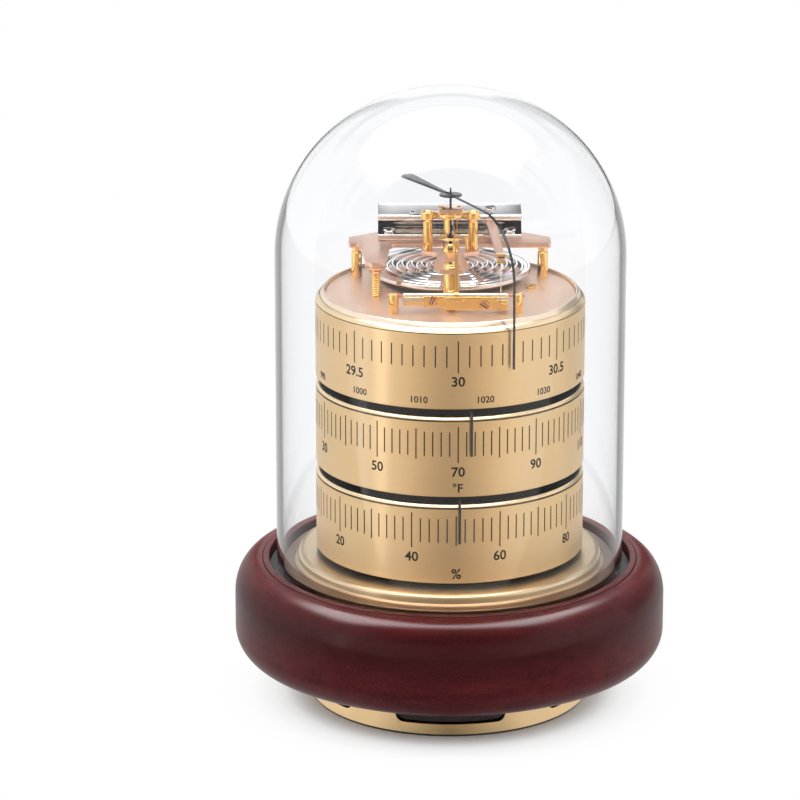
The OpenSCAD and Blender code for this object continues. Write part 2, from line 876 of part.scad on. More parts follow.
link_r = 0.2;
link_slack = 0.75;
module link_wire() {
    z0 = shaft_level - 5.8;
    color("gold")
        translate([link_x, arm_tip_y, z0])
            cylinder(r = link_r, h = clamp_z - arm_t / 2 - 0.1 - z0);
}

// The rocking shaft with its block, strip and lever, on two pivot screws
pivot_r = 0.4;
post_gap = 1.5;
shaft_post_r = 1.9;
module rocking_shaft() {
    color("silver")
        translate([shaft_x - shaft_l / 2, -shaft_y, shaft_level])
            rotate([0, 90, 0])
                difference() {
                    cylinder(r = shaft_r, h = shaft_l);
                    translate([0, 0, -over])
                        cylinder(r = pivot_r + running_gap, h = 2 + over);
                    translate([0, 0, shaft_l - 2])
                        cylinder(r = pivot_r + running_gap, h = 2 + over);
                }
}

shaft_post_dx = shaft_l / 2 + post_gap + shaft_post_r;
module shaft_posts() {
    color("gold")
        for (s = [-1, 1])
            translate([shaft_x + s * shaft_post_dx, -shaft_y, plate_z])
                difference() {
                    cylinder(r = shaft_post_r, h = shaft_z + 0.9);
                    translate([0, 0, shaft_z])
                        rotate([0, 90, 0])
                            translate([0, 0, -shaft_post_r - over])
                                cylinder(r = pivot_r + hole_gap, h = 2 * (shaft_post_r + over));
                }
}

module pivot_screws() {
    color([0.70, 0.30, 0.25])
        for (s = [-1, 1])
            translate([shaft_x + s * (shaft_l / 2 - 1.5), -shaft_y, shaft_level])
                rotate([0, s * 90, 0])
                    cylinder(r = pivot_r, h = 1.5 + post_gap + 2 * shaft_post_r + 0.4);
}

strip_front = shaft_y + shaft_r + 0.75;
strip_back = shaft_y + shaft_r + 0.05;
module shaft_block() {
    left = shaft_x - shaft_l / 2 + 7.6;
    width = 7.4;
    color("gold")
        difference() {
            union() {
                translate([left, -strip_front - 0.5, shaft_level - 3.7])
                    cube([width, strip_front - strip_back + 0.5, 3.9]);
                translate([left - 7.5, -strip_front, shaft_level - 3.2])
                    cube([7.5 + eps, strip_front - strip_back, 1.4]);
            }
            translate([left + 3, -strip_back + over, shaft_level - 1.2])
                rotate([90, 0, 0])
                    cylinder(r = 0.8 + hole_gap, h = 4);
        }
}

strip_screw_x = [shaft_x - shaft_l / 2 + 10.6, link_x - 5.9];
module regulator_strip() {
    left = shaft_x - shaft_l / 2 + 15.3;
    hook_x = link_x + 2.4;
    color("gold")
        difference() {
            union() {
                translate([left, -strip_front, shaft_level - 4.9])
                    cube([hook_x - 4 - left, strip_front - strip_back, 4.7]);
                translate([hook_x - 4.1, -strip_front, shaft_level - 4.9])
                    cube([4.1, strip_front - strip_back, 3.6]);
                translate([hook_x - 4.1, -strip_front, shaft_level - 4.9])
                    cube([4.1, strip_front - link_y + 1.6, 1]);
            }
            translate([link_x, arm_tip_y, shaft_level - 6])
                cylinder(r = link_r + link_slack, h = 3);
            translate([strip_screw_x[1], -strip_back + over, shaft_level - 3])
                rotate([90, 0, 0])
                    cylinder(r = 0.8 + hole_gap, h = 4);
        }
}

module strip_screws() {
    faces = [strip_front + 0.5, strip_front];
    drops = [1.2, 3];
    turns = [65, -35];
    color("gold")
        for (i = [0, 1])
            translate([strip_screw_x[i], -faces[i], shaft_level - drops[i]])
                rotate([90, 0, 0])
                    slotted_screw(1.65, 0.8, 0.8, faces[i] - strip_back, turns[i]);
}

module lever_arm() {
    lever_t = 0.8;
    z0 = shaft_level + shaft_r;
    color("gold")
        difference() {
            union() {
                translate([lever_x + 0.6 - lever_w / 2, -shaft_y - lever_t / 2, z0])
                    cube([lever_w, lever_t, lever_h - shaft_r]);
                translate([lever_x + 0.6 - 1.5, -shaft_y, shaft_level])
                    rotate([0, 90, 0])
                        cylinder(r = shaft_r + 0.3, h = 3);
            }
            translate([lever_x + 0.6 - 3, -shaft_y, shaft_level])
                rotate([0, 90, 0])
                    cylinder(r = shaft_r + press_gap, h = 6);
            translate([lever_x + 0.2, -shaft_y - lever_t, shaft_level + lever_h - 5.2])
                cube([0.8, 2 * lever_t, 3]);
            translate([lever_x + 0.6 - 3, -strip_back - over, shaft_level - 3])
                cube([6, over, 6]);
        }
}

module drive_chain() {
    back = 1.2;
    front = shaft_y - 0.4 - face_gap;
    color("gold")
        translate([lever_x, back, chain_z])
            rotate([90, 0, 0])
                cylinder(r = chain_r, h = front + back);
}

// The movement frame: column, plate, nut, two pillars, bridge and top block
column_tenon_r = 1.5;
module movement_column() {
    color("gold")
        translate([0, -column_y, plate_z])
            union() {
                cylinder(r = column_r, h = movement_z - movement_t);
                translate([0, 0, -top_plate_t - 2])
                    cylinder(r = column_tenon_r, h = movement_z + top_plate_t + 2 + 1.7);
            }
}

module movement_plate() {
    tip = column_y + 3.2;
    bar_w = pillar_x + 2.4;
    color([0.80, 0.58, 0.50])
        difference() {
            translate([0, 0, movement_under])
                linear_extrude(movement_t)
                    polygon([
                        [-bar_w, pillar_y + 2.6], [-bar_w, pillar_y - 2.2], [-4.4, -3],
                        [-6.4, -column_y + 4], [-4.6, -tip], [4.6, -tip],
                        [6.4, -column_y + 4], [4.4, -3], [bar_w, pillar_y - 2.2],
                        [bar_w, pillar_y + 2.6]]);
            translate([0, -column_y, plate_z])
                cylinder(r = column_tenon_r + hole_gap, h = movement_z + over);
            translate([0, 0, movement_under - over])
                cylinder(r = bush_seat_r + hole_gap, h = movement_t + 2 * over);
            for (s = [-1, 1])
                translate([s * pillar_x, pillar_y, movement_under - over])
                    cylinder(r = pillar_tenon_r + hole_gap, h = movement_t + 2 * over);
            translate([hair_stud_x, 0, movement_under - over])
                cylinder(r = hair_stud_r + hole_gap, h = movement_t + 2 * over);
        }
}

module column_nut() {
    color("gold")
        translate([0, -column_y, movement_top])
            difference() {
                union() {
                    cylinder(r1 = 3.2, r2 = 3, h = 0.9);
                    translate([0, 0, 0.9 - eps])
                        cylinder(r1 = 3, r2 = 2.4, h = 0.9 + eps);
                }
                translate([0, 0, -over])
                    cylinder(r = column_tenon_r + hole_gap, h = 4);
            }
}

pillar_tenon_r = 1.1;
module movement_pillars() {
    cap_h = 1.6;
    color("gold")
        for (s = [-1, 1])
            translate([s * pillar_x, pillar_y, movement_under])
                union() {
                    cylinder(r = pillar_tenon_r, h = movement_t + eps);
                    translate([0, 0, movement_t])
                        cylinder(r = pillar_r, h = pillar_h - bar_t - cap_h);
                    translate([0, 0, movement_t + pillar_h - bar_t - cap_h - eps])
                        cylinder(r1 = pillar_r, r2 = 2.6, h = cap_h + eps);
                    translate([0, 0, movement_t + pillar_h - bar_t - eps])
                        cylinder(r = pillar_tenon_r, h = bar_t + eps);
                }
}

bush_seat_r = 1.6;
bush_in = baro_spindle_r + running_gap;
module movement_bridge() {
    tube_h = 5.4;
    color("gold")
        difference() {
            union() {
                translate([0, 0, bar_z])
                    linear_extrude(bar_t)
                        union() {
                            translate([-pillar_x, pillar_y - 1.6])
                                square([2 * pillar_x, 3.2]);
                            for (s = [-1, 1])
                                translate([s * pillar_x, pillar_y])
                                    circle(r = 2.6);
                            circle(r = 4.8);
                        }
                translate([0, 0, bar_z - tube_h])
                    cylinder(r = 2.7, h = tube_h + eps);
            }
            translate([0, 0, bar_z - tube_h - over])
                cylinder(r = 2, h = tube_h + over - 0.8);
            translate([0, 0, bar_z - tube_h - over])
                cylinder(r = bush_in, h = tube_h + bar_t + 2 * over);
            for (s = [-1, 1])
                translate([s * pillar_x, pillar_y, bar_z - over])
                    cylinder(r = pillar_tenon_r + hole_gap, h = bar_t + 2 * over);
            translate([-0.2, -4, bar_z - tube_h - over])
                cube([2.6, 8, tube_h + over - 1.4]);
        }
}

module top_block() {
    block_w = 9.2;
    block_d = 7.6;
    block_h = 1.9;
    foot = 0.3;
    color([0.85, 0.62, 0.52])
        translate([0, 0, pillar_top])
            difference() {
                union() {
                    cylinder(r = 3.4, h = foot + eps);
                    translate([-block_w / 2, -block_d / 2, foot])
                        cube([block_w, block_d, block_h]);
                }
                translate([0, 0, -over])
                    cylinder(r = baro_spindle_r + hole_gap, h = block_h + 4);
            }
}

module lower_bush() {
    color("gold")
        translate([0, 0, movement_under])
            difference() {
                union() {
                    cylinder(r = bush_seat_r, h = movement_t + eps);
                    translate([0, 0, movement_t])
                        cylinder(r1 = 3.2, r2 = 2, h = 3.2);
                }
                translate([0, 0, 0.6])
                    cylinder(r = bush_in, h = movement_t + 4);
            }
}

// The barometer spindle, its hairspring and its pointer
module barometer_spindle() {
    z0 = movement_under + 0.7;
    color("dimgray")
        union() {
            translate([0, 0, z0])
                cylinder(r = baro_spindle_r, h = hub_z + pointer_t - z0);
            translate([0, 0, chain_z - 1])
                cylinder(r = chain_drum_r, h = 2);
            translate([0, 0, hair_z - 0.6])
                cylinder(r = 1.2, h = 1.2);
            translate([0, 0, hub_z + pointer_t - eps])
                cylinder(r = 0.4, h = 2.7);
        }
}

// Each ring of the hairspring is a hexagon, square to the spiral, at an even step of angle
hair_n = hairspring_turns * hair_turn_steps;
function hair_c(i) =
    let (a = 360 * i / hair_turn_steps, r = hair_in_r + hair_pitch * i / hair_turn_steps)
    [r * cos(a), r * sin(a), hair_z];
function hair_ring(i) =
    let (a = 360 * i / hair_turn_steps, c = hair_c(i))
    [for (k = [0 : 5]) c + hair_r * [cos(60 * k) * cos(a), cos(60 * k) * sin(a), sin(60 * k)]];
hair_least_gap = min([for (i = [0 : hair_n - hair_turn_steps])
    min([for (k = [i + hair_turn_steps / 2 : min(hair_n, i + 2 * hair_turn_steps)])
        norm(hair_c(i) - hair_c(k))])]) - 2 * hair_r;
echo(hairspring_least_gap = hair_least_gap);
hair_out_r = hair_in_r + hair_pitch * hairspring_turns;
hair_stud_r = 0.5;
hair_stud_x = hair_out_r + hair_r + hair_stud_r + 0.05;

module hairspring() {
    pts = [for (i = [0 : hair_n]) each hair_ring(i)];
    sides = [for (i = [0 : hair_n - 1], k = [0 : 5])
        let (a = 6 * i + k, b = 6 * i + (k + 1) % 6) each [[a, a + 6, b + 6], [a, b + 6, b]]];
    caps = concat([for (k = [1 : 4]) [0, k, k + 1]],
                  [for (k = [1 : 4]) [6 * hair_n, 6 * hair_n + k + 1, 6 * hair_n + k]]);
    color("gold")
        polyhedron(points = pts, faces = concat(sides, caps));
}

module hairspring_stud() {
    color("gold")
        translate([hair_stud_x, 0, movement_under])
            cylinder(r = hair_stud_r, h = hair_z + 0.8 - movement_under);
}

module barometer_pointer() {
    bend_z = plate_z + pointer_bend_z;
    rx = pointer_r - pointer_bend_r;
    rz = hub_z + pointer_t - bend_z;
    tip_z = plate_z - pointer_drop;
    color([0.35, 0.35, 0.36])
        rotate([0, 0, barometer_azimuth])
            difference() {
                union() {
                    translate([0, 0, hub_z])
                        cylinder(r = 4.2, h = pointer_t);
                    translate([0, 0, hub_z])
                        linear_extrude(pointer_t)
                            polygon([[0.6, 0], [1.3, tail_l - 0.8], [-1.8, tail_l],
                                     [-4.2, tail_l - 2.3], [-0.8, 0]]);
                    rotate([90, 0, -90])
                        translate([0, 0, -pointer_w / 2])
                            linear_extrude(pointer_w)
                                polygon(concat(
                                    [[0, hub_z + pointer_t]],
                                    arc_pts(pointer_bend_r, bend_z, rx, rz, 90, 0, 12),
                                    [[pointer_r, tip_z], [pointer_r - pointer_t, tip_z]],
                                    arc_pts(pointer_bend_r, bend_z, rx - pointer_t,
                                            rz - pointer_t, 0, 90, 12),
                                    [[0, hub_z]]));
                }
                translate([0, 0, hub_z - over])
                    cylinder(r = baro_spindle_r + press_gap, h = pointer_t + 2 * over);
            }
}

foot_pad();
foot_ring();
foot_screws();
wood_base();
base_dish();
dish_screws();
dome_seat();
glass_dome();
neck_ring();
tie_rods();
rod_nuts();
stack_spacers();
hygrometer_floor();
hygrometer_drum();
hygrometer_deck();
hygrometer_coil();
hygrometer_spindle();
hygrometer_pointer();
thermometer_floor();
thermometer_drum();
thermometer_deck();
thermometer_coil();
thermometer_spindle();
thermometer_pointer();
coil_studs();
barometer_floor();
barometer_drum();
top_plate();
plate_screw();
aneroid_capsule();
capsule_nut();
pull_post();
bridge_plate();
bridge_posts();
adjusting_screw();
mainspring();
spring_screws();
compensation_arm();
arm_screw();
arm_clamp();
link_wire();
rocking_shaft();
shaft_posts();
pivot_screws();
shaft_block();
regulator_strip();
strip_screws();
lever_arm();
drive_chain();
movement_column();
movement_plate();
column_nut();
movement_pillars();
movement_bridge();
top_block();
lower_bush();
barometer_spindle();
hairspring();
hairspring_stud();
barometer_pointer();
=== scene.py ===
"""A weather station on a turned wooden base: three brass scale drums and an open barometer
movement under a glass dome. Lengths inside the functions are millimetres, measured from the
middle of the underside, +Z up, with the pointers reading at the front (-Y)."""

import json

import bmesh
import bpy
import numpy as np
from bpy.props import FloatProperty, FloatVectorProperty, PointerProperty
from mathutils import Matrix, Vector

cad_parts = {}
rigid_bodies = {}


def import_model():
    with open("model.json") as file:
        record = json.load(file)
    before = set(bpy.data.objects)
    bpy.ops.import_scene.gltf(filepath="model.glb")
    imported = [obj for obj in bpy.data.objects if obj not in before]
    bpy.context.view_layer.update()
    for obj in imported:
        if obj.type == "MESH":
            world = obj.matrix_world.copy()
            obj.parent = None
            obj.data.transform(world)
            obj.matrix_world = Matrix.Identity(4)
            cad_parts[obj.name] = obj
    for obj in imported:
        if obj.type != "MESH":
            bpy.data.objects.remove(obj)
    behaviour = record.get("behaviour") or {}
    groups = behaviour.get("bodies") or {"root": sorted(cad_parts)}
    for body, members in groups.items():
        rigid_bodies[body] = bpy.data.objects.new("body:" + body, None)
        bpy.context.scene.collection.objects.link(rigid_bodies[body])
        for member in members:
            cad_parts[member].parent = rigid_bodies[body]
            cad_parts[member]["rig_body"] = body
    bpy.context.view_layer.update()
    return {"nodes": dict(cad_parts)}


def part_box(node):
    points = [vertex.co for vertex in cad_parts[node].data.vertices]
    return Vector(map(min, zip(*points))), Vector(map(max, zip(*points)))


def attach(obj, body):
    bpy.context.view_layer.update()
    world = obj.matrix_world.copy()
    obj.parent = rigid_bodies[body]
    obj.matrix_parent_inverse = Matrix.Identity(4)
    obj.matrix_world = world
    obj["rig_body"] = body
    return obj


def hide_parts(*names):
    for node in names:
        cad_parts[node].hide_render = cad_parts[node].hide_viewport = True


bl_info = {
    "name": "Weather station",
    "version": (1, 0, 0),
    "blender": (4, 5, 0),
    "location": "3D View > Sidebar > Weather station",
    "description": "Builds a drum weather station under a glass dome, piece by piece",
    "category": "Add Mesh",
}

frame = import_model()
MM = 0.001
TURN = 2 * np.pi


def span(node):
    """Lowest and highest corner of a node, in millimetres."""
    low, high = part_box(node)
    return np.array(low) / MM, np.array(high) / MM


def levels(node):
    """Lowest and highest z of a node, in millimetres."""
    low, high = span(node)
    return low[2], high[2]


def length(text, about, default, low=0.0, high=1.0):
    """A size in metres, from a default in millimetres."""
    return FloatProperty(name=text, description=about, default=default * MM, min=low * MM,
                         max=high * MM, unit="LENGTH", precision=5)


def paint(text, about, default):
    return FloatVectorProperty(name=text, description=about, default=default, size=3,
                               subtype="COLOR", min=0.0, max=1.0)


class StationSizes(bpy.types.PropertyGroup):
    edge: length("Edge", "Rounding of the turned brass edges", 0.25, 0.05, 0.6)
    plate_edge: length("Plate edge", "Bevel round the flat plates", 0.14, 0.03, 0.4)
    slot_end: length("Slot end", "Radius of the ends of the slots in the foot", 3.4, 1, 3.5)
    mark: length("Mark width", "Width of a scale mark", 0.46, 0.15, 0.8)
    mark_proud: length("Mark height", "How far ink stands on the brass", 0.02, 0.005, 0.05)
    figure: length("Figure", "Height of the scale numbers", 3.7, 2, 5)
    small_figure: length("Small figure", "Height of the small numbers", 2.5, 1, 4)
    thread_pitch: length("Thread pitch", "Pitch of the adjusting screw", 0.85, 0.5, 2)
    thread_depth: length("Thread depth", "Depth of the adjusting screw's thread", 0.42, 0.1, 0.5)


class StationColours(bpy.types.PropertyGroup):
    brass: paint("Brass", "Brushed brass of the drums", (0.88, 0.63, 0.34))
    gold: paint("Gold", "Polished gilt of the posts and pillars", (0.94, 0.63, 0.25))
    copper: paint("Copper", "Brushed copper of the plates", (0.83, 0.55, 0.44))
    steel: paint("Steel", "Polished steel of the spring and capsule", (0.80, 0.79, 0.80))
    wood: paint("Wood", "Stained wood of the base", (0.068, 0.0085, 0.010))
    black: paint("Black", "Blackened metal", (0.012, 0.011, 0.012))
    ink: paint("Ink", "Ink of the scale marks", (0.010, 0.004, 0.002))
    felt: paint("Felt", "Felt of the pads", (0.03, 0.03, 0.032))
    glass: paint("Glass", "Tint of the glass", (0.985, 0.99, 1.0))


def sizes():
    """The chosen sizes, in millimetres."""
    group = bpy.context.scene.station_sizes
    return {k: getattr(group, k) / MM for k in StationSizes.__annotations__}


# Finishes


class Wire:
    """A shader socket. Arithmetic on it adds the Math nodes."""

    def __init__(self, finish, socket):
        self.finish, self.socket = finish, socket

    def __add__(self, other):
        return self.finish.math("ADD", self, other)

    def __radd__(self, other):
        return self.finish.math("ADD", other, self)

    def __sub__(self, other):
        return self.finish.math("SUBTRACT", self, other)

    def __rsub__(self, other):
        return self.finish.math("SUBTRACT", other, self)

    def __mul__(self, other):
        return self.finish.math("MULTIPLY", self, other)


class Finish:
    """A material built node by node."""

    def __init__(self, name, owner=None):
        self.owner = owner or bpy.data.materials.new(name)
        self.owner.use_nodes = True
        self.tree = self.owner.node_tree
        self.tree.nodes.clear()

    def add(self, kind, settings=None, values=None, out=0):
        """Adds a node: its settings first, then the values or wires of its sockets."""
        node = self.tree.nodes.new(kind)
        for key, value in (settings or {}).items():
            if key == "stops":
                stops = node.color_ramp.elements
                for stop, (place, colour) in zip((stops[0], stops[-1]), (value[0], value[-1])):
                    stop.position, stop.color = place, colour
                for place, colour in value[1:-1]:
                    stops.new(place).color = colour
            else:
                setattr(node, key, value)
        for key, value in (values or {}).items():
            if isinstance(value, Wire):
                self.tree.links.new(value.socket, node.inputs[key])
            else:
                node.inputs[key].default_value = value
        return Wire(self, node.outputs[out]) if node.outputs else None

    def math(self, operation, a, b=0.0, clamp=False):
        return self.add("ShaderNodeMath", {"operation": operation, "use_clamp": clamp},
                        {0: a, 1: b})

    def place(self, scale):
        """Object coordinates, stretched along each axis."""
        where = self.add("ShaderNodeTexCoord", out="Object")
        return self.add("ShaderNodeMapping", None, {"Vector": where, "Scale": scale})

    def distance(self, where):
        """Length of a vector."""
        return self.add("ShaderNodeVectorMath", {"operation": "LENGTH"}, {0: where}, out=1)

    def noise(self, where, detail=2.0, roughness=0.5, scale=1.0):
        """Noise over a vector, or over the object coordinates stretched by three numbers or
        evenly by one."""
        if not isinstance(where, Wire):
            where = self.place(where if isinstance(where, tuple) else (where,) * 3)
        return self.add("ShaderNodeTexNoise", None, {"Vector": where, "Scale": scale,
                                                     "Detail": detail, "Roughness": roughness})

    def ramp(self, factor, *stops):
        """A grey ramp: stops are (place, level)."""
        return self.add("ShaderNodeValToRGB",
                        {"stops": [(p, (v, v, v, 1)) for p, v in stops]}, {0: factor})

    def blend(self, factor, a, b):
        """Colour a to colour b."""
        return self.add("ShaderNodeMix", {"data_type": "RGBA"}, {0: factor, 6: a, 7: b}, out=2)

    def either(self, factor, a, b):
        """Shader a to shader b."""
        return self.add("ShaderNodeMixShader", None, {0: factor, 1: a, 2: b})

    def glow(self, strength, colour=(1, 1, 1, 1), kind="Background"):
        return self.add(f"ShaderNode{kind}", None, {"Color": colour, "Strength": strength})

    def bump(self, height, strength, distance):
        return self.add("ShaderNodeBump", None, {"Strength": strength, "Height": height,
                                                 "Distance": distance * MM})

    def surface(self, shader):
        self.add("ShaderNodeOutputMaterial", None, {"Surface": shader})
        return self.owner

    def principled(self, **values):
        return self.add("ShaderNodeBsdfPrincipled", None,
                        {k.replace("_", " "): v for k, v in values.items()})


def full(colour, gain=1.0):
    return (*(min(1.0, c * gain) for c in colour), 1.0)


def brushed(name, colour, stretch, rough, spread=0.1, anisotropic=0.0, tarnish=0.08,
            inner=None, outer=None):
    """Brushed metal: noise stretched along the brush gives fine lines of tone, gloss and
    height, and a slow cloud dulls it a little in patches. Inside the inner radius it is
    painted near black as shade, and beyond the outer radius it is painted brown as a
    reflection of the wood."""
    f = Finish(name)
    fine = f.noise(stretch, 4.0, 0.65)
    cloud = f.noise(35, 3.0)
    lines = f.ramp(fine, (0.3, 0), (0.7, 1))
    tone = f.blend(lines, full(colour, 1 - spread), full(colour, 1 + spread * 0.6))
    tone = f.blend(f.ramp(cloud, (0.4, 0), (0.8, tarnish)), tone, full(colour, 0.72))
    if inner or outer:
        # Painted shade: near black inside the inner radius, in the foot's slots and the grooves
        # under the drum lips. Painted reflection: brown beyond the outer radius, the wood seen in
        # the dish's flange.
        radius = f.distance(f.place((10, 10, 0)))
        at = (inner or outer) / 100
        near, far = (1, 0) if inner else (0, 0.9)
        tone = f.blend(f.ramp(radius, (at - 0.004, near), (at - 0.001, far)), tone,
                       (0.006, 0.003, 0.002, 1) if inner else (0.26, 0.15, 0.10, 1))
    return f.surface(f.principled(
        Base_Color=tone, Metallic=1.0, Roughness=rough + (fine - 0.5) * 0.1 + (cloud - 0.5) * 0.06,
        Anisotropic=anisotropic, Anisotropic_Rotation=0.25, Normal=f.bump(fine, 0.12, 0.008)))


def ringed(name, colour, rough):
    """Metal faced on a lathe: noise of the distance from the axis gives rings, and a finer
    grain lies over them."""
    f = Finish(name)
    line = f.add("ShaderNodeTexNoise", {"noise_dimensions": "1D"},
                 {"W": f.distance(f.place((1, 1, 0))), "Scale": 2600.0, "Detail": 3.0})
    grain = f.noise(2600)
    cloud = f.noise(45, 3.0)
    tone = f.blend(f.ramp(line, (0.3, 0), (0.7, 1)), full(colour, 0.88), full(colour, 1.06))
    tone = f.blend(f.ramp(cloud, (0.45, 0), (0.8, 0.3)), tone, full(colour, 0.8))
    return f.surface(f.principled(
        Base_Color=tone, Metallic=1.0, Roughness=rough + (line - 0.5) * 0.15 + (grain - 0.5) * 0.1,
        Normal=f.bump(line * 0.6 + grain * 0.4, 0.3, 0.012)))


def polished(name, colour, rough, worn=0.12):
    """Polished metal: nearly a mirror, with faint hairlines and a cloud of handling marks."""
    f = Finish(name)
    hair = f.noise((900, 900, 4200), 3.0, 0.6)
    cloud = f.noise(160)
    tone = f.blend(f.ramp(cloud, (0.35, 0), (0.75, worn)), full(colour), full(colour, 0.6))
    return f.surface(f.principled(
        Base_Color=tone, Metallic=1.0,
        Roughness=rough + (cloud - 0.4) * 0.1 + (hair - 0.5) * 0.05,
        Normal=f.bump(hair, 0.12, 0.006)))


def varnished(name, colour):
    """Stained and varnished wood: dark pores along the turning, fine light flecks, a band of
    painted shade round the waist, and a clear satin coat on top."""
    f = Finish(name)
    grain = f.noise((28, 220, 260), 6.0, 0.6)
    pores = f.noise((1500, 1500, 2600), 2.0, 0.7)
    fleck = f.noise((900, 900, 1500), 3.0, 0.6)
    tone = f.blend(f.ramp(grain, (0.35, 0), (0.68, 1)), full(colour, 0.72), full(colour, 1.22))
    tone = f.blend(f.ramp(pores, (0.55, 0), (0.72, 0.55)), tone, full(colour, 0.4))
    tone = f.blend(f.ramp(fleck, (0.52, 0), (0.75, 0.5)), tone, full(colour, 2.2))
    # Painted shade: the colour darkens in a band of height round the waist
    rise = f.add("ShaderNodeSeparateXYZ", None, {0: f.place((0, 0, 10))}, out=2)
    tone = f.blend(f.ramp(rise, (0.3, 0), (0.4, 0.65), (0.46, 0.65), (0.52, 0.1)), tone,
                   full(colour, 0.4))
    return f.surface(f.principled(
        Base_Color=tone, Roughness=0.46 + (pores - 0.5) * 0.2 + (grain - 0.5) * 0.1,
        Specular_IOR_Level=0.03, Coat_Weight=0.3, Coat_Roughness=0.2,
        Normal=f.bump(pores * 0.7 + grain * 0.3, 0.12, 0.03)))


def lacquered(name, colour, rough=0.38, metallic=0.0, gloss=0.5):
    """Black lacquer or blued metal with a fine dusting that changes its gloss."""
    f = Finish(name)
    dust = f.noise(1400, 3.0)
    tone = f.blend(f.ramp(dust, (0.45, 0), (0.8, 1)), full(colour), full(colour, 2.2))
    return f.surface(f.principled(Base_Color=tone, Metallic=metallic, Specular_IOR_Level=gloss,
                                  Roughness=rough + (dust - 0.5) * 0.25,
                                  Normal=f.bump(dust, 0.1, 0.01)))


def felted(name, colour):
    """Pressed felt: two scales of fibre noise in tone and height, with sheen."""
    f = Finish(name)
    fibre = f.noise((1900, 2300, 2100), 5.0, 0.75)
    tuft = f.noise(420, 3.0)
    tone = f.blend(fibre, full(colour, 0.6), full(colour, 1.8))
    return f.surface(f.principled(Base_Color=tone, Roughness=0.92, Sheen_Weight=0.4,
                                  Normal=f.bump(fibre * 0.6 + tuft * 0.4, 0.8, 0.12)))


def clear(name, tint):
    """Blown glass: clear, with the slightest unevenness in its gloss, a cool tone where the
    wall is seen edge on, and open to the light of the lamps."""
    f = Finish(name)
    wave = f.noise((30, 30, 22), 1.0)
    rim = f.add("ShaderNodeLayerWeight", None, {"Blend": 0.5}, out="Facing")
    tone = f.blend(f.ramp(rim, (0.78, 0), (0.88, 0.12), (0.94, 0.5), (1, 1)), full(tint),
                   (0.40, 0.43, 0.45, 1))
    glass = f.principled(Base_Color=tone, Roughness=0.004 + wave * 0.006,
                         Transmission_Weight=1.0, IOR=1.35)
    open_ = f.add("ShaderNodeBsdfTransparent", None, {"Color": (0.97, 0.98, 0.985, 1)})
    ray = f.add("ShaderNodeLightPath", out="Is Shadow Ray")
    return f.surface(f.either(ray, glass, open_))


# Brush lines run round the axis
AROUND = (50, 50, 5200)
# Each finish: its slot, its maker, its colour (or the name of a chosen one), and the rest
LOOKS = {
    # The last number of the drum and foot brass is a radius: inside it the brass is painted near
    # black as shade in the grooves and slots
    "drum_brass": ("brass_satin", brushed, "brass", AROUND, 0.42, 0.05, 0.85, 0.08, 49.95),
    # Beyond radius 58.2 the dish is painted brown: a painted reflection of the wooden base in its
    # flange
    "dish_brass": ("brass_satin", brushed, (0.84, 0.65, 0.42), AROUND, 0.32, 0.07, 0.8, 0.2,
                   None, 58.2),
    "foot_brass": ("brass_satin", brushed, "brass", AROUND, 0.4, 0.05, 0.6, 0.08, 51.95),
    "gold": ("brass_polished", polished, "gold", 0.08),
    "pale_gold": ("brass_polished", polished, (0.97, 0.89, 0.72), 0.15),
    "rim_gold": ("copper_plate", polished, (1.0, 0.80, 0.62), 0.18, 0.04),
    "lip_gold": ("brass_satin", polished, (0.95, 0.74, 0.46), 0.2, 0.06),
    "copper": ("copper_plate", brushed, "copper", (420, 3400, 420), 0.36, 0.08),
    "copper_disc": ("copper_plate", ringed, (0.98, 0.74, 0.60), 0.48),
    "copper_block": ("copper_plate", polished, (0.93, 0.66, 0.50), 0.2),
    "rose": ("brass_polished", polished, (0.88, 0.55, 0.34), 0.22),
    "red_tip": ("brass_polished", polished, (0.62, 0.22, 0.16), 0.25),
    "mirror": ("steel_polished", polished, "steel", 0.04, 0.05),
    "spring_steel": ("steel_polished", polished, "steel", 0.09, 0.08),
    "plain_steel": ("steel_plain", polished, (0.62, 0.62, 0.63), 0.28),
    "grey_pointer": ("black_pointer", lacquered, (0.045, 0.045, 0.05), 0.3, 1.0),
    "black": ("black_pointer", lacquered, "black"),
    # Dark parts painted darker still and without gloss: painted shade for the gaps between the
    # drums
    "gap_black": (None, lacquered, (0.003, 0.0012, 0.001), 0.6, 0.0, 0.0),
    "ink": ("black_plate", lacquered, "ink", 0.6, 0.0, 0.03),
    "varnished_wood": ("wood", varnished, "wood"),
    "felt": (None, felted, "felt"),
    "foil": (None, polished, (0.78, 0.48, 0.28), 0.3),
    "glass": ("glass", clear, "glass"),
}
FINISHES = {}


def finish(name):
    """The finish of that name, made the first time it is asked for."""
    if name not in FINISHES:
        maker, colour, *rest = LOOKS[name][1:]
        if isinstance(colour, str):
            colour = getattr(bpy.context.scene.station_colours, colour)
        FINISHES[name] = maker(name, colour, *rest)
    return FINISHES[name]


# Shapes: a shape is (points, faces), its faces a list of arrays of point numbers


def grid(points, close_rows=False, close_columns=False):
    """Quads over a grid of points; a closed direction joins its last line to its first."""
    rows, columns = points.shape[:2]
    number = np.arange(rows * columns).reshape(rows, columns)
    if close_rows:
        number = np.vstack([number, number[:1]])
    if close_columns:
        number = np.hstack([number, number[:, :1]])
    quads = np.stack([number[:-1, :-1], number[1:, :-1], number[1:, 1:], number[:-1, 1:]], -1)
    return points.reshape(-1, 3), [quads.reshape(-1, 4)]


def together(*shapes):
    """Several shapes as one."""
    points, faces, start = [], [], 0
    for p, f in shapes:
        points.append(p)
        faces += [np.asarray(q) + start for q in f]
        start += len(p)
    return np.vstack(points), faces


def turned(profile, around):
    """Profile points (r, z) carried round the axis: at angle a, (r cos a, r sin a, z)."""
    r, z = np.asarray(profile, float).T
    angle = np.linspace(0, TURN, around, endpoint=False)[:, None]
    points = np.stack([r * np.cos(angle), r * np.sin(angle), z + 0 * angle], -1)
    return grid(points, close_rows=True)


